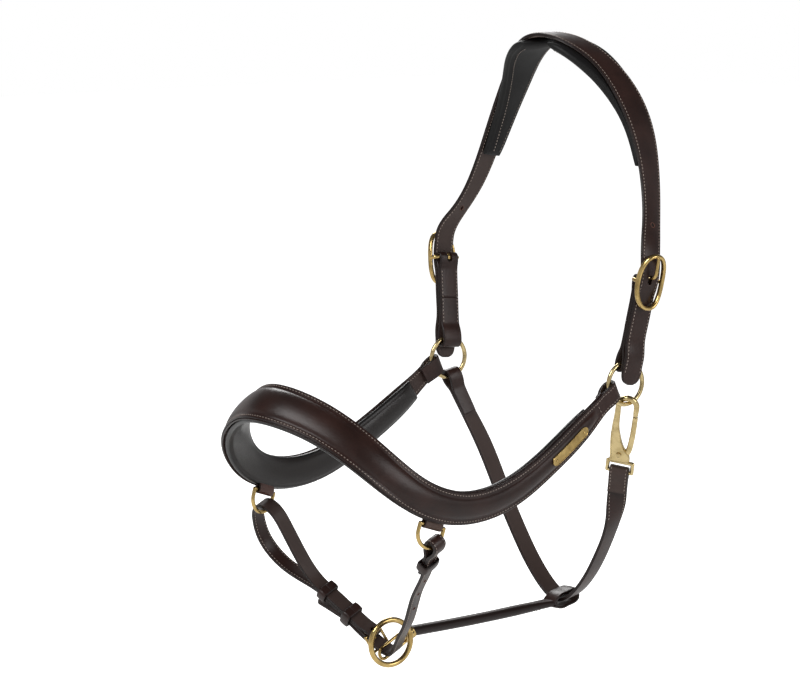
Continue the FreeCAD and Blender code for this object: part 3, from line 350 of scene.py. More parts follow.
def stitch_tree():
    """Nodes that lay one bead of thread on every few millimetres of each seam line."""
    tree = bpy.data.node_groups.new("seam_stitches", "GeometryNodeTree")
    face = tree.interface
    face.new_socket("Geometry", in_out="INPUT", socket_type="NodeSocketGeometry")
    for label, value in (("Pitch", 0.0031), ("Length", 0.00105), ("Thickness", 0.00036)):
        face.new_socket(label, in_out="INPUT", socket_type="NodeSocketFloat").default_value = value
    face.new_socket("Thread", in_out="INPUT", socket_type="NodeSocketMaterial")
    face.new_socket("Geometry", in_out="OUTPUT", socket_type="NodeSocketGeometry")
    given = tree.nodes.new("NodeGroupInput")
    made = tree.nodes.new("NodeGroupOutput")
    line = tree.nodes.new("GeometryNodeMeshToCurve")
    link(tree, given.outputs["Geometry"], line.inputs["Mesh"])
    even = tree.nodes.new("GeometryNodeResampleCurve")
    even.mode = "LENGTH"
    link(tree, line.outputs["Curve"], even.inputs["Curve"])
    link(tree, given.outputs["Pitch"], even.inputs["Length"])
    out = tree.nodes.new("GeometryNodeInputNamedAttribute")
    out.data_type = "FLOAT_VECTOR"
    out.inputs["Name"].default_value = "out"
    stand = tree.nodes.new("FunctionNodeAlignRotationToVector")
    stand.axis = "Z"
    link(tree, out.outputs["Attribute"], stand.inputs["Vector"])
    run = tree.nodes.new("FunctionNodeAlignRotationToVector")
    run.axis = "X"
    run.pivot_axis = "Z"
    tangent = tree.nodes.new("GeometryNodeInputTangent")
    link(tree, stand.outputs["Rotation"], run.inputs["Rotation"])
    link(tree, tangent.outputs["Tangent"], run.inputs["Vector"])
    bead = add(tree, "GeometryNodeMeshUVSphere", {"Segments": 6, "Rings": 5, "Radius": 1})
    size = tree.nodes.new("ShaderNodeCombineXYZ")
    for axis, label in (("X", "Length"), ("Y", "Thickness"), ("Z", "Thickness")):
        link(tree, given.outputs[label], size.inputs[axis])
    lay = tree.nodes.new("GeometryNodeInstanceOnPoints")
    link(tree, even.outputs["Curve"], lay.inputs["Points"])
    link(tree, bead.outputs["Mesh"], lay.inputs["Instance"])
    link(tree, run.outputs["Rotation"], lay.inputs["Rotation"])
    link(tree, size.outputs["Vector"], lay.inputs["Scale"])
    real = tree.nodes.new("GeometryNodeRealizeInstances")
    link(tree, lay.outputs["Instances"], real.inputs["Geometry"])
    paint = tree.nodes.new("GeometryNodeSetMaterial")
    link(tree, real.outputs["Geometry"], paint.inputs["Geometry"])
    link(tree, given.outputs["Thread"], paint.inputs["Material"])
    link(tree, paint.outputs["Geometry"], made.inputs["Geometry"])
    return tree


seams = stitch_tree()


def stitched(name, lines, body):
    """Stitches along lines of (point in mm, outward direction), made one plain mesh on its body."""
    verts, edges, outs = [], [], []
    for line in lines:
        first = len(verts)
        for point, out in line:
            verts.append(tuple(point * MM))
            outs.extend(out)
        edges += [(first + k, first + k + 1) for k in range(len(line) - 1)]
    mesh = bpy.data.meshes.new(name + "_line")
    mesh.from_pydata(verts, edges, [])
    mesh.attributes.new("out", "FLOAT_VECTOR", "POINT").data.foreach_set("vector", outs)
    piece = bpy.data.objects.new(name, mesh)
    bpy.context.scene.collection.objects.link(piece)
    sewing = piece.modifiers.new("sewing", "NODES")
    sewing.node_group = seams
    for item in seams.interface.items_tree:
        if item.name == "Thread":
            sewing[item.identifier] = thread
    bpy.context.view_layer.update()
    shown = piece.evaluated_get(bpy.context.evaluated_depsgraph_get())
    plain = bpy.data.meshes.new_from_object(shown)
    piece.modifiers.clear()
    piece.data = plain
    if not plain.materials:
        plain.materials.append(thread)
    for face in plain.polygons:
        face.use_smooth = True
    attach(piece, body)
    return piece


def seam(strap, start, end, inset, out, sign, pace=3.0):
    """A seam line on one face of a strap: inset from the edge, out from the middle of its thickness."""
    line = []
    count = max(2, int((end - start) / pace))
    for step in range(count + 1):
        point, along, side, face, width = strap.at(start + (end - start) * step / count)
        line.append((point + side * sign * (width / 2 - inset) + face * out, face * (1 if out > 0 else -1)))
    return line


def middle(node):
    low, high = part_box(node)
    return (Vector(low) + Vector(high)) / 2


ring_near = middle("cheek_ring_near") / MM
RING_RADIUS = 18.5
RING_WIRE = 4.0
toe = math.radians(10)
ring_normal = Vector((math.cos(toe), -math.sin(toe), 0))
ring_front = Vector((-math.sin(toe), -math.cos(toe), 0))
STRAP_WIDTH = 20.0
STRAP_THICK = 3.2
CHEEK_THICK = 2.6
GAP = 0.3
RING_GAP = 1.4
BAR_WIRE = 3.6
OVAL_HALF = 13.0
OVAL_LEG = 10.0
DISH = math.radians(30)
TAIL_LENGTH = 93.0


def mirrored(vector):
    return Vector((-vector[0], vector[1], vector[2]))


class Local:
    """Axes of one cheekpiece: along it up from the ring, across it, and outwards."""

    def __init__(self, origin, along, out):
        self.origin = Vector(origin)
        self.x = Vector(along).normalized()
        self.z = (out - self.x * self.x.dot(out)).normalized()
        self.y = self.z.cross(self.x)

    def put(self, x, y, z):
        return self.origin + self.x * x + self.y * y + self.z * z


def cheek_axes(sign):
    centre = ring_near if sign > 0 else mirrored(ring_near)
    normal = ring_normal * sign
    buckle = Vector((sign * 124.0, -6.0, -208.0))
    toward = buckle - centre
    radial = (toward - normal * toward.dot(normal)).normalized()
    foot = centre + radial * RING_RADIUS
    return Local(foot, buckle - foot, normal), (buckle - foot).length


cheek = {1: cheek_axes(1), -1: cheek_axes(-1)}
ring_turn = RING_WIRE / 2 + RING_GAP + CHEEK_THICK / 2
bar_turn = BAR_WIRE / 2 + GAP + CHEEK_THICK / 2
tail_out = GAP / 2 + CHEEK_THICK + GAP + STRAP_THICK / 2
bar_out = bar_turn + CHEEK_THICK / 2 + GAP + STRAP_THICK / 2


def tail_stations(sign):
    place, length = cheek[sign]
    tip = length - TAIL_LENGTH
    over_ring = ring_turn + CHEEK_THICK / 2 + GAP + STRAP_THICK / 2
    top = length + (OVAL_LEG + OVAL_HALF) * math.cos(DISH)
    bottom = length - (OVAL_LEG + OVAL_HALF) * math.cos(DISH)
    wide = STRAP_WIDTH
    spots = [(tip, over_ring, wide * 0.3), (tip + 1.2, over_ring, wide * 0.56),
             (tip + 4, over_ring, wide * 0.84), (tip + 9, over_ring, wide), (-3, over_ring, wide),
             (7, over_ring, wide), (18, tail_out + 0.6, wide), ((18 + bottom) / 2, tail_out, wide),
             (bottom, tail_out, wide), (length - 13, tail_out + 0.2, wide),
             (length - 6, bar_out - 0.4, wide), (length, bar_out, wide),
             (length + 6, bar_out - 0.4, wide), (length + 12, bar_out - 1.5, wide),
             (length + 16, bar_out - 2.5, wide), (top + 2, bar_out - 4.4, wide)]
    return [(place.put(x, 0, z), place.y * -sign, width) for x, z, width in spots]


CROWN_WIDTH = 28.0
BRIDGE_WIDTH = 24.0


def crown_stations(sign):
    shape = [(1.085, 0.56, 0.3, STRAP_WIDTH, 0.0), (0.985, 0.47, 1.0, STRAP_WIDTH * 1.05, 0.0),
             (0.9, 0.375, 1.4, (STRAP_WIDTH + CROWN_WIDTH) / 2, 0.05), (0.78, 0.26, 1.6, CROWN_WIDTH, 0.1),
             (0.61, 0.148, 1.4, CROWN_WIDTH, 0.1), (0.40, 0.058, 0.8, CROWN_WIDTH * 0.88, 0.05),
             (0.10, 0.004, 0.1, BRIDGE_WIDTH * 1.1, 0.0)]
    return [(Vector((sign * 112 * out, 17 * rear, -300 * down + STRAP_THICK / 2)),
             Vector((0, 1, lean)), width)
            for out, down, rear, width, lean in shape]


near_tail = tail_stations(1)
far_tail = tail_stations(-1)
near_crown = crown_stations(1)
far_crown = crown_stations(-1)
poll = [(Vector((0, 0, STRAP_THICK / 2)), Vector((0, 1, 0)), BRIDGE_WIDTH)]


def facing(stations, outward):
    """The strap through these stations, its grain side turned towards outward half way along."""
    strap = Strap(stations)
    if strap.at(strap.length / 2)[3].dot(Vector(outward)) < 0:
        strap = Strap([(point, -Vector(across), width) for point, across, width in stations])
    return strap


crown_strap = facing(near_tail + near_crown + poll + far_crown[::-1] + far_tail[::-1], (0, 0, 1))
headpiece = sweep("headpiece_strap", crown_strap, STRAP_THICK, "headpiece",
                  shape=lambda share, width: {"crown": 0.4, "margin": 3.4, "plies": 2})
headpiece.data.materials.append(havana)
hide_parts("headpiece_leather")


def punch(piece, hits):
    """Cut round or slotted holes through a strap: (place in mm, direction, along, radius, slot length)."""
    for spot, direction, along, radius, length in hits:
        z_axis = Vector(direction).normalized()
        x_axis = (along - z_axis * z_axis.dot(along)).normalized()
        y_axis = z_axis.cross(x_axis)
        verts = []
        for level in (-9, 9):
            for step in range(24):
                angle = math.radians(step * 15)
                push = length / 2 if math.cos(angle) > 0 else -length / 2
                verts.append((spot + x_axis * (radius * math.cos(angle) + push)
                              + y_axis * radius * math.sin(angle) + z_axis * level) * MM)
        faces = [(k, (k + 1) % 24, 24 + (k + 1) % 24, 24 + k) for k in range(24)]
        faces += [tuple(range(23, -1, -1)), tuple(range(24, 48))]
        mesh = bpy.data.meshes.new("punch")
        mesh.from_pydata([tuple(v) for v in verts], [], faces)
        tool = bpy.data.objects.new("punch", mesh)
        bpy.context.scene.collection.objects.link(tool)
        cutter = piece.modifiers.new("punch", "BOOLEAN")
        cutter.operation = "DIFFERENCE"
        cutter.solver = "EXACT"
        cutter.object = tool
        bpy.context.view_layer.update()
        shown = piece.evaluated_get(bpy.context.evaluated_depsgraph_get())
        plain = bpy.data.meshes.new_from_object(shown)
        piece.modifiers.clear()
        piece.data = plain
        bpy.data.objects.remove(tool)


# Raw reddish leather where a hole was punched.
raw_leather = leather_finish("punched_leather", (0.16, 0.060, 0.035), (0.10, 0.04, 0.025),
                             (0.1, 0.05, 0.03), 0.6)


def hole_rim(name, spots, body, radius=2.2):
    """A thin raw rim standing just above each punched hole: (place on the face, outward)."""
    verts, faces = [], []
    for spot, out in spots:
        z_axis = Vector(out).normalized()
        x_axis = z_axis.orthogonal().normalized()
        y_axis = z_axis.cross(x_axis)
        first = len(verts)
        for ring in range(24):
            angle = math.radians(ring * 15)
            radial = x_axis * math.cos(angle) + y_axis * math.sin(angle)
            for step in range(8):
                turn_angle = math.radians(step * 45)
                verts.append((spot + radial * (radius + 0.28 * math.cos(turn_angle))
                              + z_axis * 0.22 * math.sin(turn_angle)) * MM)
        for ring in range(24):
            for step in range(8):
                a = first + ring * 8 + step
                b = first + ring * 8 + (step + 1) % 8
                c = first + (ring + 1) % 24 * 8 + (step + 1) % 8
                d = first + (ring + 1) % 24 * 8 + step
                faces.append((a, b, c, d))
    piece = new_piece(name, verts, faces, body)
    piece.data.materials.append(raw_leather)
    return piece


HOLE_PITCH = 27.0
rims = []
for sign in (1, -1):
    place, length = cheek[sign]
    hits = []
    slot_at = place.put(length + 1.4, 0, bar_out)
    hits.append((slot_at, place.z, place.x, 2.0, 4.6))
    for along_strap in (length + HOLE_PITCH * 1.7,):
        best = min((t for t in np.linspace(0, crown_strap.length, 900)
                    if crown_strap.at(t)[0].x * sign > 0),
                   key=lambda t: abs((crown_strap.at(t)[0] - place.origin).dot(place.x) - along_strap))
        point, along, side, face, width = crown_strap.at(best)
        hits.append((point, face, along, 2.0, 0.0))
        rims.append((point + face * (STRAP_THICK / 2 + 0.35), face))
        rims.append((point - face * STRAP_THICK / 2, -face))
    punch(headpiece, hits)
hole_rim("headpiece_hole_rims", rims, "headpiece")

seam_out = STRAP_THICK / 2 + 0.1
lines = []
for sign in (1, -1):
    for inner_face in (1, -1):
        lines.append(seam(crown_strap, 12, crown_strap.length - 12, 2.0, seam_out * inner_face, sign))
stitched("headpiece_stitches", lines, "headpiece")


# ---- Poll pads ------------------------------------------------------------------------------
# Two soft pads of black leather over foam, stitched under the crown with a gap over the poll.

PAD_THICK = 7.0
PAD_WIDTH = 47.0
PAD_GAP = 0.8


# Soft black lining leather with fine wrinkles.
lining = leather_finish("black_lining", (0.0075, 0.0068, 0.0070), (0.0040, 0.0037, 0.0038),
                        (0.0065, 0.0060, 0.0062), 0.48, grain=0.75, coat=0.05)
black_thread = leather_finish("black_thread", (0.034, 0.030, 0.029), (0.022, 0.020, 0.019),
                              (0.034, 0.030, 0.029), 0.6)


def moved(strap, start, end, steps, distance, widen=0.0, share=1.0):
    """Stations of a second layer on one side of a strap, from start to end along it."""
    layer = []
    for step in range(steps + 1):
        point, along, side, face, width = strap.at(start + (end - start) * step / steps)
        layer.append((point + face * distance, side, width * share + widen))
    return layer


def soft_ends(thick, belly, first, last, plies=1):
    """A pad's section, thinning softly over its first and last stretch."""
    def shape(share, width):
        grow = min(1.0, share / first) if first else 1.0
        fade = min(1.0, (1 - share) / last) if last else 1.0
        full = math.sin(math.pi / 2 * min(grow, fade)) ** 0.6
        return {"thick": thick * (0.35 + 0.65 * full), "belly": belly * full, "plies": plies}
    return shape


station_at = crown_strap.knots
crown_from = len(near_tail) + 2
crown_to = len(near_tail) + len(near_crown) - 1
poll_index = len(near_tail) + len(near_crown)
for side_name, low, high in (("near", crown_from, crown_to),
                             ("far", 2 * poll_index - crown_to, 2 * poll_index - crown_from)):
    under = moved(crown_strap, station_at[low], station_at[high], 12,
                  -STRAP_THICK / 2 - PAD_GAP - PAD_THICK / 2 + 0.5)
    widths = PAD_WIDTH * np.interp(np.linspace(0, 1, 13), (0, 0.3, 0.55, 0.8, 0.95, 1),
                                   (0.46, 0.62, 0.82, 1, 0.98, 0.86))
    widths = widths if side_name == "near" else widths[::-1]
    pad_route = Strap([(point, across, width) for (point, across, _), width in zip(under, widths)])
    ends = (0.10, 0.07) if side_name == "near" else (0.07, 0.10)
    pad = sweep("poll_pad_" + side_name + "_soft", pad_route, PAD_THICK, "headpiece",
                shape=soft_ends(PAD_THICK, 1.8, *ends))
    pad.data.materials.append(lining)
    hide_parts("poll_pad_" + side_name)
    panel = [seam(pad_route, 6, pad_route.length - 6, 7.0, -PAD_THICK / 2 - 1.5, sign) for sign in (1, -1)]
    sewing_row = stitched("poll_pad_%s_stitches" % side_name, panel, "headpiece")
    sewing_row.data.materials[0] = black_thread

# ---- Cheekpieces ----------------------------------------------------------------------------
# Short straps folded round the ring below and the buckle bar above, stitched where the two
# layers meet, with a notch for the tongue.


def turn(centre, along, side, radius, sag, reach, half_gap):
    """Route of a strap folded round a wire, from the layer on its side to the other layer."""
    route = [(reach, half_gap), (reach * 0.78, half_gap + (radius - half_gap) * 0.12),
             (reach * 0.5, half_gap + (radius - half_gap) * 0.6), (radius * 0.35, radius)]
    for step in range(7):
        angle = math.radians(step * 30)
        route.append((-sag - radius * math.sin(angle), radius * math.cos(angle)))
    route += [(distance, -offset) for distance, offset in reversed(route[:4])]
    return [centre + along * distance + side * offset for distance, offset in route]


def sagitta(radius, width):
    return radius - math.sqrt(radius ** 2 - (width / 2) ** 2)


for sign, side_name in ((1, "near"), (-1, "far")):
    place, length = cheek[sign]
    half_gap = GAP / 2 + CHEEK_THICK / 2
    at_ring = turn(Vector(), Vector((1, 0, 0)), Vector((0, 0, 1)), ring_turn,
                   sagitta(RING_RADIUS, STRAP_WIDTH), 16, half_gap)
    at_bar = turn(Vector((length, 0, 0)), Vector((-1, 0, 0)), Vector((0, 0, -1)), bar_turn, 0, 13, half_gap)
    seam_at = Vector((length / 2, 0, -half_gap))
    outer = Vector((length / 2, 0, half_gap))
    step_back = Vector((0.15, 0, 0))
    route = [seam_at + step_back] + at_bar + [outer] + at_ring + [seam_at - step_back]
    folded = Strap([(place.put(*point), place.y, STRAP_WIDTH) for point in route])
    if folded.at(folded.length / 2)[3].dot(place.z) < 0:
        folded = Strap([(place.put(*point), -place.y, STRAP_WIDTH) for point in route])
    piece = sweep("cheekpiece_%s_strap" % side_name, folded, CHEEK_THICK, "headpiece", pace=1.1,
                  shape=lambda share, width: {"plies": 1, "crown": 0.25, "margin": 3.2})
    punch(piece, [(place.put(length + 3, 0, 0), place.z, place.x, 2.6, 10.0)])
    piece.data.materials.append(havana)
    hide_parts("cheekpiece_" + side_name)
    rows = []
    for face in (1, -1):
        for edge in (1, -1):
            row = []
            for step in range(20):
                x = 12 + (length - 26) * step / 19
                row.append((place.put(x, edge * (STRAP_WIDTH / 2 - 2.1),
                                      face * (half_gap + CHEEK_THICK / 2 + 0.1)),
                            place.z * face))
            rows.append(row)
    stitched("cheekpiece_%s_stitches" % side_name, rows, "headpiece")

# ---- Oval buckles and tongues ---------------------------------------------------------------
# Cast brass: an oval frame dished to clear the strap, and a bent tongue that turns on its bar.


def brass_finish(name, color, worn, roughness):
    """Polished cast brass: slightly uneven gloss, hairline scratches and warm tarnish in patches."""
    finish = bpy.data.materials.new(name)
    finish.use_nodes = True
    tree = finish.node_tree
    shader = tree.nodes["Principled BSDF"]
    shader.inputs["Metallic"].default_value = 1
    place = tree.nodes.new("ShaderNodeTexCoord").outputs["Object"]
    patch = add(tree, "ShaderNodeTexNoise", {"Scale": 110, "Detail": 4})
    link(tree, place, patch.inputs["Vector"])
    limits = add(tree, "ShaderNodeMapRange", {"From Min": 0.42, "From Max": 0.72})
    link(tree, patch.outputs["Fac"], limits.inputs["Value"])
    tone = tree.nodes.new("ShaderNodeMix")
    tone.data_type = "RGBA"
    tone.inputs["A"].default_value = (*color, 1)
    tone.inputs["B"].default_value = (*worn, 1)
    link(tree, limits.outputs["Result"], tone.inputs["Factor"])
    link(tree, tone.outputs["Result"], shader.inputs["Base Color"])
    gloss = add(tree, "ShaderNodeMapRange", {"To Min": roughness, "To Max": roughness + 0.16})
    link(tree, patch.outputs["Fac"], gloss.inputs["Value"])
    link(tree, gloss.outputs["Result"], shader.inputs["Roughness"])
    rub = add(tree, "ShaderNodeTexNoise", {"Scale": 900, "Detail": 2})
    link(tree, place, rub.inputs["Vector"])
    bump = add(tree, "ShaderNodeBump", {"Strength": 0.12, "Distance": 0.0001})
    link(tree, rub.outputs["Fac"], bump.inputs["Height"])
    link(tree, bump.outputs["Normal"], shader.inputs["Normal"])
    return finish


brass = brass_finish("polished_brass", (0.60, 0.43, 0.17), (0.36, 0.24, 0.085), 0.14)
pale_brass = brass_finish("pale_brass", (0.68, 0.54, 0.28), (0.44, 0.33, 0.15), 0.14)


def repaint(node, finish):
    """Give a CAD part its own finish."""
    mesh = nodes[node].data
    if not mesh.materials:
        mesh.materials.append(finish)
    for k in range(len(mesh.materials)):
        mesh.materials[k] = finish


def tube(name, points, radius, body, finish, closed=False, pace=0.6, sides=14, flat=1.0, up=None):
    """A round or flattened wire bent along points in mm."""
    if closed:
        points = list(points) + [points[0]]
    route = Strap([(Vector(p), Vector(up) if up else Vector((0.1, 0.2, 1)), 1.0) for p in points])
    count = max(8, int(route.length / pace))
    verts, faces = [], []
    total = count if closed else count + 1
    for step in range(total):
        point, along, side, face, width = route.at(route.length * step / count)
        for k in range(sides):
            angle = 2 * math.pi * k / sides
            verts.append((point + side * math.cos(angle) * radius
                          + face * math.sin(angle) * radius * flat) * MM)
    for step in range(count):
        for k in range(sides):
            a, b = step * sides + k, step * sides + (k + 1) % sides
            c, d = ((step + 1) % total) * sides + (k + 1) % sides, ((step + 1) % total) * sides + k
            faces.append((a, b, c, d))
    if not closed:
        faces.append(tuple(range(sides)))
        faces.append(tuple(range(count * sides, (count + 1) * sides)))
    piece = new_piece(name, verts, faces, body)
    piece.data.materials.append(finish)
    return piece


OVAL_REACH = 23.2
OVAL_SIDE = 13.0
OVAL_LIFT = 8.4
OVAL_TOP = 11.4

for sign, side_name in ((1, "near"), (-1, "far")):
    place, length = cheek[sign]
    rim = []
    for step in range(40):
        angle = math.radians(step * 9)
        x = OVAL_REACH * math.copysign(abs(math.cos(angle)) ** 0.9, math.cos(angle))
        y = OVAL_SIDE * math.copysign(abs(math.sin(angle)) ** 0.8, math.sin(angle))
        rim.append(place.put(length + x, y, OVAL_LIFT + (OVAL_TOP - OVAL_LIFT) * (x / OVAL_REACH) ** 2))
    frame_rim = tube("buckle_frame_%s_rim" % side_name, rim, 2.7, "buckle_" + side_name, brass,
                     closed=True, pace=0.9, sides=18, flat=0.72, up=place.z)
    frame_bar = tube("buckle_frame_%s_bar" % side_name,
                     [place.put(length, y, z) for y, z in
                      ((-OVAL_SIDE, OVAL_LIFT), (-13.3, 4.6), (-12.6, 1.6), (-10.6, 0.1), (0, 0),
                       (10.6, 0.1), (12.6, 1.6), (13.3, 4.6), (OVAL_SIDE, OVAL_LIFT))], BAR_WIRE / 2,
                     "buckle_" + side_name, brass, up=place.x)
    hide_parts("buckle_frame_" + side_name)
    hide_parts("buckle_frame_" + side_name)
    reach = (OVAL_LEG + OVAL_HALF) * math.cos(DISH)
    rest = (OVAL_LEG + OVAL_HALF) * math.sin(DISH) + 2 + 0.3 + 1.05
    eye = 1.8 + 0.15 + 1.05
    ring_path = [(eye * math.cos(math.radians(a)), eye * math.sin(math.radians(a)))
                 for a in range(-250, 61, 31)]
    path = ring_path + [(2.2, 6.5), (3.4, rest - 3), (6.5, rest - 0.3), (13, rest + 0.2), (reach - 2, rest),
                        (reach + 2.4, rest - 0.4)]
    tongue_route = Strap([(place.put(length + x, 0, z), place.y,
                           3.4 if k < len(path) - 3 else 3.4 - 0.5 * (k - len(path) + 4))
                          for k, (x, z) in enumerate(path)])
    tongue = sweep("buckle_tongue_%s_bent" % side_name, tongue_route, 2.0, "tongue_" + side_name,
                   pace=0.5, shape=lambda share, width: {"columns": 6})
    tongue.data.materials.append(brass)
    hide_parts("buckle_tongue_" + side_name)

# ---- Cheek rings ----------------------------------------------------------------------------
# Round welded rings of pale brass, loose in the folded ends of four straps.

for side_name in ("near", "far"):
    repaint("cheek_ring_" + side_name, pale_brass)

# ---- Noseband -------------------------------------------------------------------------------
# A shaped band: raised outer leather over a core, a base leather that shows as a second edge,
# and a soft black lining pad. Both ends fold round the cheek rings and are stitched down.

NOSE_FORWARD = 333.0
NOSE_WIDTH = 38.0
NOSE_THICK = 3.2
NOSE_DIP = 84.0
NOSE_END = 16.5
NOSE_PAD = 5.5
ring_forward = -ring_near.y
ring_side = ring_near.x
ring_drop = -ring_near.z


def nose_stations(sign):
    shape = [(1.03, 0.17, 0.36, (0, 0.55, -0.84), 0.56), (1.045, 0.33, 0.71, (-0.05, 0.44, -0.89), 0.64),
             (1.05, 0.476, 0.94, (-0.05, 0.25, -0.97), 0.69), (1.035, 0.63, 1.0, (-0.12, 0, -0.97), 0.72),
             (0.98, 0.775, 0.82, (-0.05, -0.45, -0.87), 0.77), (0.77, 0.89, 0.40, (0.0, -0.75, -0.64), 0.87),
             (0.40, 0.96, 0.06, (0.0, -0.78, -0.62), 0.96)]
    return [(Vector((sign * ring_side * out, -ring_forward - (NOSE_FORWARD - ring_forward) * ahead,
                     -ring_drop - NOSE_DIP * down)), Vector((sign * x, y, z)), NOSE_WIDTH * broad)
            for out, ahead, down, (x, y, z), broad in shape]


nose_top = [(Vector((0, -NOSE_FORWARD, -ring_drop + 6)), Vector((0, -0.74, -0.66)), NOSE_WIDTH)]
nose_open = nose_stations(1) + nose_top + nose_stations(-1)[::-1]


def nose_end(sign):
    centre = ring_near if sign > 0 else mirrored(ring_near)
    dip = math.radians(24)
    radial = ring_front * math.cos(dip) - Vector((0, 0, 1)) * math.sin(dip)
    across = ring_normal.cross(radial)
    foot = centre + radial * RING_RADIUS
    lean = (nose_open[0 if sign > 0 else -1][0] - foot).normalized()
    outward = ring_normal * sign
    side = (outward - lean * lean.dot(outward)).normalized()
    route = turn(foot, lean, side, RING_WIRE / 2 + RING_GAP + NOSE_THICK / 2,
                 sagitta(RING_RADIUS, NOSE_END), 15, GAP / 2 + NOSE_THICK / 2)
    if across.z > 0:
        across = -across
    return [(point, across, NOSE_END) for point in route]


nose_strap = facing(nose_end(1)[::-1] + nose_open + nose_end(-1), (0, -0.66, 0.74))
FOLD_RUN = 62.0
RAISED = 3.4


def nose_rise(t):
    near_end = min(1.0, max(0.0, (t - FOLD_RUN) / 14))
    far_end = min(1.0, max(0.0, (nose_strap.length - t - FOLD_RUN) / 14))
    return RAISED * math.sin(math.pi / 2 * min(near_end, far_end))


def raised_middle(share, width):
    rise = nose_rise(share * nose_strap.length)
    return {"crown": rise * min(1.0, 0.55 + width / 80), "margin": 4.6 + width * 0.02, "columns": 34}


noseband = sweep("noseband_outer", nose_strap, 1.7, "noseband", lift=0.75, shape=raised_middle)
noseband.data.materials.append(havana)
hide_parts("noseband_leather")
base_from, base_to = 46, nose_strap.length - 46
base_strap = Strap(moved(nose_strap, base_from, base_to, 60, -0.85, widen=2.0))
base = sweep("noseband_base", base_strap, 1.4, "noseband",
             shape=lambda share, width: {"columns": 8})
base.data.materials.append(havana)
fold_under = sweep("noseband_fold_under", nose_strap, 1.4, "noseband", lift=-0.85,
                   start=0, end=base_from, shape=lambda share, width: {"columns": 8})
fold_under.data.materials.append(havana)
far_under = sweep("noseband_fold_under_far", nose_strap, 1.4, "noseband", lift=-0.85,
                  start=base_to, end=nose_strap.length, shape=lambda share, width: {"columns": 8})
far_under.data.materials.append(havana)

pad_from, pad_to = 70, nose_strap.length - 70
pad_strap = Strap(moved(nose_strap, pad_from, pad_to, 44, -NOSE_THICK / 2 - GAP - NOSE_PAD / 2, widen=0.6))
nose_pad = sweep("noseband_soft_lining", pad_strap, NOSE_PAD, "noseband",
                 shape=soft_ends(NOSE_PAD, 2.6, 0.02, 0.02))
nose_lining = leather_finish("noseband_lining", (0.0135, 0.0108, 0.0102), (0.0072, 0.0060, 0.0058),
                             (0.0135, 0.0108, 0.0102), 0.34, coat=0.25, dull=0.0)
nose_pad.data.materials.append(nose_lining)
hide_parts("noseband_padding")

rows = []
for sign in (1, -1):
    rows.append(seam(nose_strap, 26, nose_strap.length - 26, 2.4, 1.7, sign))
    rows.append(seam(nose_strap, 30, nose_strap.length - 30, 2.4, -1.7, sign))
for t, run in ((FOLD_RUN - 4, 0), (nose_strap.length - FOLD_RUN + 4, 0)):
    point, along, side, face, width = nose_strap.at(t)
    rows.append([(point + side * (width / 2 - 2.6) * share + face * 1.75, face)
                 for share in np.linspace(-1, 1, 9)])
stitched("noseband_stitches", rows, "noseband")

# ---- Blank plate on the noseband ------------------------------------------------------------
# A thin blank brass plate with rounded ends and a raised border, held by two domed pins.

PLATE_LENGTH = 50.0
PLATE_WIDTH = 9.0


def nose_run(forward):
    """Distance along the noseband, on its near half, where it is this far forward."""
    low, high = FOLD_RUN, nose_strap.length / 2
    if nose_strap.at(nose_strap.length * 0.2)[0].x < 0:
        low, high = nose_strap.length - FOLD_RUN, nose_strap.length / 2
    for _ in range(30):
        halfway = (low + high) / 2
        if -nose_strap.at(halfway)[0].y < forward:
            low = halfway
        else:
            high = halfway
    return low


plate_at = nose_run(95)
stand = 1.6 + RAISED + 0.15
plate_stations = []
for share in (-0.5, -0.49, -0.47, -0.44, -0.4, -0.2, 0, 0.2, 0.4, 0.44, 0.47, 0.49, 0.5):
    point, along, side, face, width = nose_strap.at(plate_at + share * PLATE_LENGTH)
    rest_of = max(0.0, abs(share) - 0.4) / 0.1
    plate_stations.append((point + face * stand, side, PLATE_WIDTH * max(0.12, math.sqrt(1 - rest_of ** 2))))
plate_route = Strap(plate_stations)
plate = sweep("nameplate_blank", plate_route, 0.9, "noseband", pace=0.5,
              shape=lambda share, width: {"columns": 10})
plate.data.materials.append(brass)
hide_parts("nameplate", "nameplate_pins")

border = []
for sign in (1, -1):
    side_run = []
    for step in range(30):
        t = plate_route.length * (0.003 + 0.994 * step / 29)
        point, along, side, face, width = plate_route.at(t)
        side_run.append(point + side * sign * max(width / 2 - 0.5, 0.05) + face * 0.5)
    border += side_run if sign > 0 else side_run[::-1]
tube("nameplate_border", border, 0.35, "noseband", brass, closed=True, pace=0.5, sides=8)


def turned(name, origin, axis, steps, body, finish, sides=28):
    """A part turned about an axis: steps are (radius, height) in mm from its foot to its top."""
    z_axis = Vector(axis).normalized()
    x_axis = z_axis.orthogonal().normalized()
    y_axis = z_axis.cross(x_axis)
    verts, faces = [], []
    for radius, height in steps:
        for k in range(sides):
            angle = 2 * math.pi * k / sides
            verts.append((Vector(origin) + z_axis * height + x_axis * radius * math.cos(angle)
                          + y_axis * radius * math.sin(angle)) * MM)
    for step in range(len(steps) - 1):
        for k in range(sides):
            a, b = step * sides + k, step * sides + (k + 1) % sides
            faces.append((a, b, b + sides, a + sides))
    faces.append(tuple(range(sides)))
    faces.append(tuple(range((len(steps) - 1) * sides, len(steps) * sides)))
    piece = new_piece(name, verts, faces, body)
    piece.data.materials.append(finish)
    return piece


for share, tag in ((0.1, "front"), (0.9, "back")):
    point, along, side, face, width = plate_route.at(plate_route.length * share)
    turned("nameplate_pin_" + tag, point + face * 0.3, face,
           [(1.25, 0), (1.25, 0.35), (1.0, 0.65), (0.55, 0.85), (0.1, 0.92)], "noseband", brass)

# ---- Dee rings and chapes -------------------------------------------------------------------
# Small brass dees hang from folded leather tabs sewn between the noseband's layers.

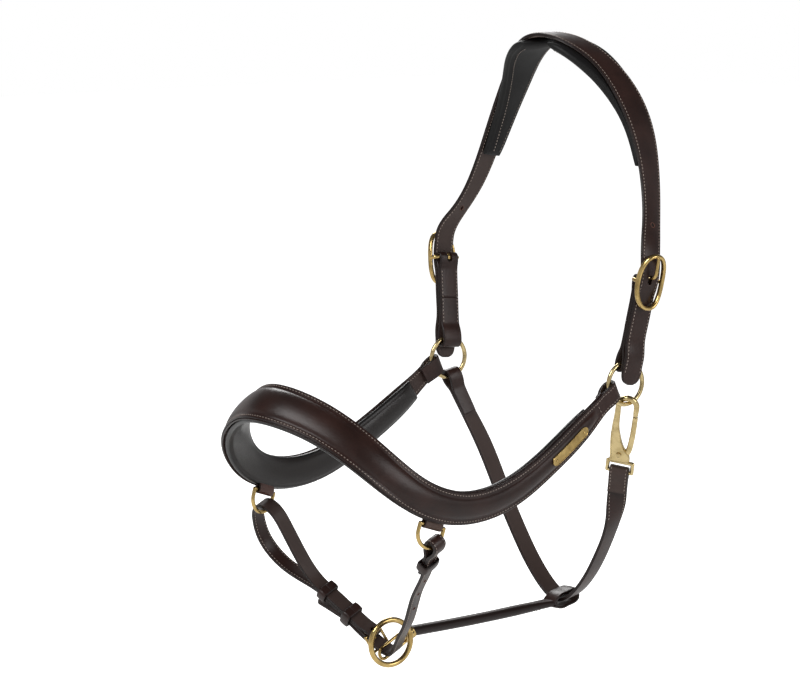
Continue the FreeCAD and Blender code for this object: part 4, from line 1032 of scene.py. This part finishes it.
DEE_WIRE = 3.5
DEE_RADIUS = 12.75
CHAPE_THICK = 1.6
CHAPE_WIDTH = 19.0
point, along, side, face, width = nose_strap.at(nose_run(241))
hang = side if side.z < 0 else -side
inward = -face
chape_skin = CHAPE_THICK * 2 + GAP
chape_turn = DEE_WIRE / 2 + GAP + CHAPE_THICK / 2
chape_root = point + inward * (NOSE_THICK / 2 + GAP + 1.2 + chape_skin / 2)
dee_bar = chape_root + hang * (width / 2 + 4)
if along.y > 0:
    along = -along
dee_down = (along * along.z - Vector((0, 0, 1))).normalized()
dee_centre = dee_bar + dee_down * 6
tan_chape = leather_finish("tan_chape_leather", (0.085, 0.036, 0.026), (0.050, 0.021, 0.016),
                           (0.07, 0.04, 0.03), 0.42)
for sign, side_name in ((1, "near"), (-1, "far")):
    def here(vector):
        return Vector((vector[0] * sign, vector[1], vector[2]))

    route = turn(here(dee_bar), here(-hang), here(-inward), chape_turn, 0, 8,
                 chape_skin / 2 - CHAPE_THICK / 2)
    route = [route[0] - here(hang) * 5] + route + [route[-1] - here(hang) * 5]
    tab = Strap([(spot, here(along), CHAPE_WIDTH) for spot in route])
    chape = sweep("dee_chape_%s_tab" % side_name, tab, CHAPE_THICK, "noseband", pace=0.8,
                  shape=lambda share, width: {"columns": 8})
    chape.data.materials.append(tan_chape)
    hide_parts("dee_chape_" + side_name)
    repaint("dee_ring_" + side_name, brass)

# ---- Chin strap -----------------------------------------------------------------------------
# A narrow strap in two parts: the far part is folded round its dee and carries the buckle, the
# near part is punched, runs through the lead ring and ends in the billet under the far part.

CHIN_WIDTH = 13.5
CHIN_THICK = 2.8
CHIN_WIRE = 2.6
chin = Vector((0, -192, -530))
chin_up = Vector((0, dee_centre.y - chin.y, dee_centre.z - chin.z)).normalized()
chin_across = Vector((0, chin_up.z, -chin_up.y))
chin_half = CHIN_THICK / 2
chin_gap = GAP / 2 + chin_half
chin_sag = sagitta(DEE_RADIUS, CHIN_WIDTH)
chin_turn = DEE_WIRE / 2 + 2 + chin_half
chin_bar_turn = CHIN_WIRE / 2 + GAP + chin_half
dee_side = dee_centre.x
dee_low = (dee_centre - chin).dot(chin_up) - DEE_RADIUS


def on_chin(spot):
    """A place in the sloping plane of the chin strap, from (sideways, up)."""
    return chin + Vector((spot[0], 0, 0)) + chin_up * spot[1]


def flat_turn(centre, along, side, radius, sag, reach):
    route = turn(Vector((*centre, 0)), along, side, radius, sag, reach, chin_gap)
    return [(point.x, point.y) for point in route]


chin_bar = (-19, 15)
far_axis = Vector((-0.78, 0.63, 0)).normalized()
far_normal = Vector((far_axis.y, -far_axis.x, 0))


def far_leg(distance, offset):
    spot = Vector((*chin_bar, 0)) + far_axis * distance + far_normal * offset
    return spot.x, spot.y


crest = dee_low + chin_sag + chin_turn
far_route = ([far_leg(30, -chin_gap)]
             + flat_turn(chin_bar, far_axis, far_normal, chin_bar_turn, 0, 12)[::-1]
             + [far_leg(30, chin_gap), far_leg(52, chin_gap), far_leg(66, chin_gap),
                (-0.79 * dee_side, 0.72 * dee_low), (-0.83 * dee_side, 0.87 * dee_low),
                (-0.92 * dee_side, crest - 3), (-dee_side, crest),
                (-1.08 * dee_side, crest - 3), (-1.17 * dee_side, 0.90 * dee_low),
                (-1.18 * dee_side, 0.74 * dee_low), (-1.06 * dee_side, 0.58 * dee_low),
                far_leg(70, -chin_gap - 2), far_leg(62, -chin_gap), far_leg(46, -chin_gap),
                far_leg(30.5, -chin_gap)])
near_axis = Vector((-0.70 * dee_side, -0.73 * dee_low, 0)).normalized()
near_outer = Vector((-near_axis.y, near_axis.x, 0))
near_outer = near_outer if near_outer.x > 0 else -near_outer


def near_leg(distance, offset):
    spot = Vector((dee_side, dee_low, 0)) + near_axis * distance + near_outer * offset
    return spot.x, spot.y


near_fold = flat_turn((dee_side, dee_low), near_axis, near_outer, chin_turn, chin_sag, 15)
if near_fold[0][0] > near_fold[-1][0]:
    near_fold.reverse()
under = chin_bar_turn + 2 * chin_half + 2 * GAP
beside = chin_gap + 2 * chin_half + 2 * GAP
near_route = ([near_leg(38, -chin_gap), near_leg(27, -chin_gap)] + near_fold
              + [near_leg(27, chin_gap), near_leg(45, chin_gap), near_leg(70, 0),
                 (0.32 * dee_side, 0.27 * dee_low), (19, 18), (9, 6), (0, -1), (-11, 2.2),
                 far_leg(0, -under), far_leg(12, -under), far_leg(26, -beside - 0.6), far_leg(38, -8.5),
                 far_leg(50, -12), far_leg(56, -14.1), far_leg(59, -15.1), far_leg(60.5, -15.6)])


def chin_piece(name, route, outward, tip=()):
    stations = [(on_chin(spot), chin_across, CHIN_WIDTH) for spot in route]
    for back_from_end, share in tip:
        place, across, width = stations[-1 - back_from_end]
        stations[-1 - back_from_end] = (place, across, width * share)
    strap = facing(stations, outward)
    piece = sweep(name, strap, CHIN_THICK, "chin_strap", pace=1.2,
                  shape=lambda share, width: {"plies": 2, "crown": 0.25, "margin": 2.4, "columns": 14})
    piece.data.materials.append(havana)
    return strap, piece


far_chin, far_piece = chin_piece("chin_strap_far_part", far_route, (0, 0, -1))
notch_along = on_chin(far_leg(-3, 0)) - on_chin(chin_bar)
notch_out = notch_along.cross(chin_across)
punch(far_piece, [(on_chin(far_leg(-2, 0)), notch_out, notch_along, 1.9, 6.0)])
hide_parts("chin_strap_far")
near_chin, near_piece = chin_piece("chin_strap_near_part", near_route, (0, 0, -1), ((0, 0.35), (1, 0.78)))
hits, rims = [], []
for step in range(3):
    spot = on_chin(near_leg(50 + step * HOLE_PITCH * 0.8, 0))
    run = on_chin(near_leg(51, 0)) - on_chin(near_leg(50, 0))
    out = run.cross(chin_across).normalized()
    best = min(np.linspace(0, near_chin.length, 700), key=lambda t: (near_chin.at(t)[0] - spot).length)
    point, along, side, face, width = near_chin.at(best)
    hits.append((point, face, along, 1.5, 0.0))
    rims.append((point + face * (chin_half + 0.22), face))
    rims.append((point - face * chin_half, -face))
punch(near_piece, hits)
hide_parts("chin_strap_near")
hole_rim("chin_hole_rims", rims, "chin_strap", radius=1.6)
rows = []
for strap in (far_chin, near_chin):
    for sign in (1, -1):
        rows.append(seam(strap, 4, strap.length - 5, 1.7, chin_half + 0.08, sign))
stitched("chin_strap_stitches", rows, "chin_strap")

KEEPER_THICK = 2.0
KEEPER_LENGTH = 9.0


def keeper(name, node, spot, axis, half_depth, body):
    """A leather loop round the strap's layers, its two ends butted underneath."""
    along = (Vector((axis.x, 0, 0)) + chin_up * axis.y).normalized()
    out = along.cross(chin_across)
    half_wide = CHIN_WIDTH / 2 + 0.5 + KEEPER_THICK / 2
    half_deep = half_depth + KEEPER_THICK / 2
    round_off = 1.6
    corner = [(half_wide, half_deep), (-half_wide, half_deep),
              (-half_wide, -half_deep), (half_wide, -half_deep)]
    path = [(0.0, -half_deep), (half_wide * 0.6, -half_deep)]
    for k, (x, y) in enumerate([corner[3], corner[0], corner[1], corner[2]]):
        start = math.radians(-90 + 90 * k)
        for step in range(4):
            angle = start + math.radians(30 * step)
            path.append((x - math.copysign(round_off, x) + round_off * math.cos(angle),
                         y - math.copysign(round_off, y) + round_off * math.sin(angle)))
    path += [(-half_wide * 0.6, -half_deep), (-0.05, -half_deep)]
    centre = on_chin(spot)
    loop = Strap([(centre + chin_across * x + out * y, along, KEEPER_LENGTH) for x, y in path])
    if (loop.at(loop.length / 2)[0] - centre).dot(loop.at(loop.length / 2)[3]) < 0:
        loop = Strap([(centre + chin_across * x + out * y, -along, KEEPER_LENGTH) for x, y in path])
    piece = sweep(name, loop, KEEPER_THICK, body, pace=0.7,
                  shape=lambda share, width: {"columns": 10, "crown": 0.2, "margin": 1.5})
    piece.data.materials.append(havana)
    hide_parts(node)


keeper("chin_keeper_upper_loop", "chin_keeper_upper", far_leg(56, 0), far_axis,
       (2 * CHIN_THICK + GAP + 1.0 + 0.4) / 2, "keeper_far")
low_spot = far_leg(26, (chin_gap - beside - 0.6) / 2)
keeper("chin_keeper_lower_loop", "chin_keeper_lower", low_spot, far_axis,
       (3 * CHIN_THICK + 2 * GAP + 1.0 + 1.6) / 2, "chin_strap")
keeper("chin_keeper_near_loop", "chin_keeper_near", near_leg(27, 0), near_axis,
       (2 * CHIN_THICK + GAP + 1.0 + 0.4) / 2, "keeper_near")

# ---- Chin buckle, lead ring and halter bolt -------------------------------------------------
# A small wire buckle on the far part, a large loose ring at the chin, and a brass bolt whose
# loop goes round the strap and whose domed cap holds the rolled strap to the throat.

repaint("chin_buckle_frame", brass)
repaint("chin_buckle_tongue", brass)
for face in nodes["chin_buckle_tongue"].data.polygons:
    face.use_smooth = False
repaint("lead_ring", brass)

bolt_spot = on_chin((-5, 0.2))
bolt_half = chin_half + 2.4 + 1.5
loop_front = CHIN_WIDTH / 2 + 0.5 + 3.6
cap_start = 33 - loop_front
sideways = chin_across.cross(Vector((1, 0, 0)))
bend_at = bolt_spot - chin_across * (loop_front - bolt_half)
path = [bolt_spot + chin_across * (cap_start - 0.5) + sideways * bolt_half * 0.9]
path += [bolt_spot + chin_across * (cap_start - 6) + sideways * bolt_half,
         bolt_spot + sideways * bolt_half]
for step in range(9):
    angle = math.radians(90 + step * 22.5)
    path.append(bend_at + chin_across * math.cos(angle) * bolt_half + sideways * math.sin(angle) * bolt_half)
path += [bolt_spot - sideways * bolt_half, bolt_spot + chin_across * (cap_start - 6) - sideways * bolt_half,
         bolt_spot + chin_across * (cap_start - 0.5) - sideways * bolt_half * 0.9]
bolt = tube("halter_bolt_loop", path, 1.5, "centre", brass, up=(1, 0.02, 0.01))
cap_foot = bolt_spot + chin_across * (cap_start - 1)
throat = Vector((0, 23, -516))
cap_end = bolt_spot + chin_across * (cap_start + 8)
centre_dir = (throat - cap_end).normalized()
cap = turned("halter_bolt_cap", cap_foot, chin_across,
             [(3.2, -1.6), (5.2, -1.3), (6.3, -0.5), (6.6, 0.6), (6.6, 2.2), (5.9, 2.9), (5.9, 6.6),
              (6.4, 7.2),
              (6.4, 8.4), (5.9, 9.0), (4.6, 9.1)], "centre", brass)
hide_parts("halter_bolt")
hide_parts("halter_bolt")

# ---- Centre strap ---------------------------------------------------------------------------
# Leather rolled into a cord over its whole length, opened out flat into a loop that the throat
# strap runs through.

throat_axis = Vector((0, throat.y - ring_near.y, throat.z - ring_near.z))
throat_reach = throat_axis.length
throat_down = throat_axis.normalized()
throat_across = Vector((0, -throat_down.z, throat_down.y))
THROAT_THICK = 3.0
THROAT_WIDTH = 18.0
OPEN_PIVOT = 3.2
loop_up = Vector((0, -throat_across.z, throat_across.y))
loop_half = THROAT_WIDTH / 2 + OPEN_PIVOT + THROAT_THICK / 2
loop_rise = THROAT_THICK + OPEN_PIVOT
oval = [(-loop_half - 5, 1.2), (-loop_half + 1, loop_rise * 0.75), (-loop_half + 6, loop_rise),
        (0, loop_rise), (loop_half - 6, loop_rise), (loop_half - 1.5, loop_rise * 0.72), (loop_half, 0)]
oval = oval + [(a, -b) for a, b in reversed(oval[:-1])]
band_route = facing([(throat + throat_across * a + loop_up * b, Vector((1, 0, 0)), 16) for a, b in oval],
                    throat_across)
band = sweep("centre_strap_loop", band_route, 2.4, "centre", pace=0.9,
             shape=lambda share, width: {"plies": 1, "crown": 0.3, "margin": 2.4})
band.data.materials.append(havana)
rope_end = throat - throat_across * (loop_half + 1)
rope_start = cap_end - centre_dir * 3
rope_path = [rope_start + (rope_end - rope_start) * share + Vector((0, 0, -1.2 * math.sin(math.pi * share)))
             for share in (0, 0.15, 0.3, 0.5, 0.7, 0.85, 1)]
rope_route = facing([(spot, Vector((1, 0, 0)), 10) for spot in rope_path], (0, 0, 1))


def rolled(share, width):
    """Round along most of the cord, opening flat where it meets the loop."""
    opened = max(0.0, (share - 0.72) / 0.28) ** 1.4
    return {"thick": 8.6 - 3.2 * opened, "columns": 10, "plies": 1}


for k in range(len(rope_route.data)):
    share = k / (len(rope_route.data) - 1)
    rope_route.data[k, 6] = 9.6 + 6 * max(0.0, (share - 0.72) / 0.28)
rolled_strap = sweep("centre_strap_rolled", Strap([(row[:3], row[3:6], row[6]) for row in rope_route.data]),
                     9.0, "centre", pace=1.2, shape=rolled)
rolled_strap.data.materials.append(havana)
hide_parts("centre_strap")
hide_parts("centre_strap")
rows = []
underside = Strap([(row[:3], row[3:6], 9.6) for row in rope_route.data])
rows.append(seam(underside, 8, underside.length - 16, 4.8, -4.75, 1))
stitched("centre_strap_stitches", rows, "centre")

# ---- Throat strap ---------------------------------------------------------------------------
# A flat strap folded and stitched round the far ring at one end and the snap's eye at the other.


def throat_side(share_out, share_down):
    spot = Vector((ring_side * share_out, ring_near.y, ring_near.z)) + throat_down * throat_reach * share_down
    return spot + throat_across * 9 * math.sin(math.pi * share_down)


far_centre = mirrored(ring_near)
far_radial = Vector((0, 0.24, -1))
far_radial = (far_radial - ring_normal * far_radial.dot(ring_normal)).normalized()
far_foot = far_centre + far_radial * RING_RADIUS
far_tangent = ring_normal.cross(far_radial)
far_tangent = far_tangent if far_tangent.y > 0 else -far_tangent
far_along = (far_radial + Vector((0.35, 0, 0))).normalized()
far_out = (Vector((-1, 0, 0)) + far_along * far_along.x).normalized()
throat_gap = GAP / 2 + THROAT_THICK / 2
END_WIDTH = 14.0
far_fold = turn(far_foot, far_along, far_out, RING_WIRE / 2 + RING_GAP + THROAT_THICK / 2,
                sagitta(RING_RADIUS, END_WIDTH), 14, throat_gap)
far_fold = [far_fold[-1] + far_along * 24, far_fold[-1] + far_along * 12] + far_fold[::-1]
eye_bar = throat_side(0.745, 0.40)
down_in_ring = (throat_down - ring_normal * throat_down.dot(ring_normal)).normalized()
ring_bottom = ring_near + down_in_ring * RING_RADIUS
snap_up = (ring_bottom - eye_bar).normalized()
snap_turn = math.radians(30)
snap_wide = Vector((math.cos(snap_turn), math.sin(snap_turn), 0))
snap_wide = (snap_wide - snap_up * snap_up.dot(snap_wide)).normalized()
eye_along = (throat_side(0.64, 0.585) - eye_bar).normalized()
eye_out = snap_wide.cross(eye_along).normalized()
eye_fold = turn(eye_bar, eye_along, eye_out, 1.8 + GAP + THROAT_THICK / 2, 0, 13, throat_gap)
eye_fold = eye_fold + [eye_fold[-1] + eye_along * 8]
throat_stations = [(point, far_tangent, END_WIDTH) for point in far_fold]
throat_stations += [(throat_side(out, down), throat_across, THROAT_WIDTH) for out, down in
                    ((-0.79, 0.38), (-0.64, 0.585), (-0.46, 0.77), (-0.25, 0.92), (0, 1), (0.25, 0.92),
                     (0.46, 0.77))]
throat_stations.append((throat_side(0.64, 0.585), throat_across * 0.7 + snap_wide * 0.3, THROAT_WIDTH))
throat_stations += [(point, snap_wide, THROAT_WIDTH - 0.6) for point in eye_fold]
throat_strap = facing(throat_stations, (0, 0, -1))
throat_piece = sweep("throat_strap_flat", throat_strap, THROAT_THICK, "throat", pace=1.4,
                     shape=lambda share, width: {"plies": 2, "crown": 0.2, "margin": 2.4, "columns": 14})
throat_piece.data.materials.append(havana)
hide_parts("throat_strap")
rows = []
for sign in (1, -1):
    rows.append(seam(throat_strap, 6, 34, 2.0, -THROAT_THICK / 2 - 0.08, sign))
    rows.append(seam(throat_strap, 48, 84, 2.0, THROAT_THICK / 2 + 0.08, sign))
    rows.append(seam(throat_strap, throat_strap.length - 80, throat_strap.length - 34, 2.0,
                     THROAT_THICK / 2 + 0.08, sign))
    rows.append(seam(throat_strap, throat_strap.length - 24, throat_strap.length - 4, 2.0,
                     -THROAT_THICK / 2 - 0.08, sign))
stitched("throat_strap_stitches", rows, "throat")

# ---- Snap -----------------------------------------------------------------------------------
# A cast trigger snap: hook and body in one, a sprung gate on a rivet, and a swivel eye.

SNAP_MEAN = 8.0
SNAP_BASE = 62.9
hook_drop = 5.5 - RING_WIRE / 2 - RING_GAP * 0.8
snap_deep = snap_up.cross(snap_wide)


def in_snap(x, z, y=0.0):
    return ring_bottom + snap_wide * x + snap_up * z + snap_deep * y


hook_path = [(SNAP_MEAN, -12.0), (SNAP_MEAN, -8)]
for step in range(9):
    angle = math.radians(step * 22.5)
    hook_path.append((SNAP_MEAN * math.cos(angle), -hook_drop + SNAP_MEAN * math.sin(angle)))
hook_path += [(-SNAP_MEAN - 0.1, -12), (-SNAP_MEAN - 0.3, -24), (-SNAP_MEAN + 0.5, -36),
              (-SNAP_MEAN + 2.2, -46), (-3.6, -54), (-1.6, -59.5), (-1.2, -SNAP_BASE)]
widths = [4.2, 4.8] + [5.0] * 9 + [5.4, 6.4, 8.6, 11.0, 14.5, 18.0, 18.6]
deeps = [4.4, 4.8] + [5.0] * 9 + [5.0, 5.2, 5.8, 6.6, 7.4, 8.0, 8.0]
hook_route = Strap([(in_snap(x, z), in_snap(x, z) - in_snap(0, -20), wide)
                    for (x, z), wide in zip(hook_path, widths)])
verts, faces = [], []
count, sides = 120, 20
for step in range(count + 1):
    t = hook_route.length * step / count
    spot, along, side, face, wide = hook_route.at(t)
    deep = np.interp(t, hook_route.knots, deeps)
    side = along.cross(snap_deep).normalized()
    for k in range(sides):
        angle = 2 * math.pi * k / sides
        square = 0.5 if wide > 8 else 0.85
        across = math.copysign(abs(math.cos(angle)) ** square, math.cos(angle)) * wide / 2
        through = math.copysign(abs(math.sin(angle)) ** square, math.sin(angle)) * deep / 2
        verts.append((spot + side * across + snap_deep * through) * MM)
for step in range(count):
    for k in range(sides):
        a, b = step * sides + k, step * sides + (k + 1) % sides
        faces.append((a, b, b + sides, a + sides))
faces.append(tuple(range(sides)))
faces.append(tuple(range(count * sides, (count + 1) * sides)))
snap_cast = new_piece("snap_cast_body", verts, faces, "snap")
snap_cast.data.materials.append(pale_brass)
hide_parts("snap_body")
gate_path = [(-2, -55.4), (2.6, -56.5), (5.6, -52), (7.0, -44), (7.7, -34), (SNAP_MEAN, -24),
             (SNAP_MEAN + 0.1, -13.4)]
gate_route = Strap([(in_snap(x, z), snap_wide, wide) for (x, z), wide in
                    zip(gate_path, (5.5, 6.0, 5.6, 5.0, 4.6, 4.2, 3.8))])
gate = sweep("snap_gate_bar", gate_route, 3.2, "gate", pace=0.8,
             shape=lambda share, width: {"columns": 6})
gate.data.materials.append(pale_brass)
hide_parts("snap_gate")
for node in ("snap_rivet", "snap_eye"):
    repaint(node, pale_brass)
for face_sign, tag in ((1, "outer"), (-1, "inner")):
    turned("snap_rivet_head_" + tag, in_snap(-2, -SNAP_BASE + 7.5, 3.9 * face_sign), snap_deep * face_sign,
           [(2.3, 0), (2.3, 0.5), (1.9, 0.95), (1.1, 1.25), (0.15, 1.35)], "snap", pale_brass)
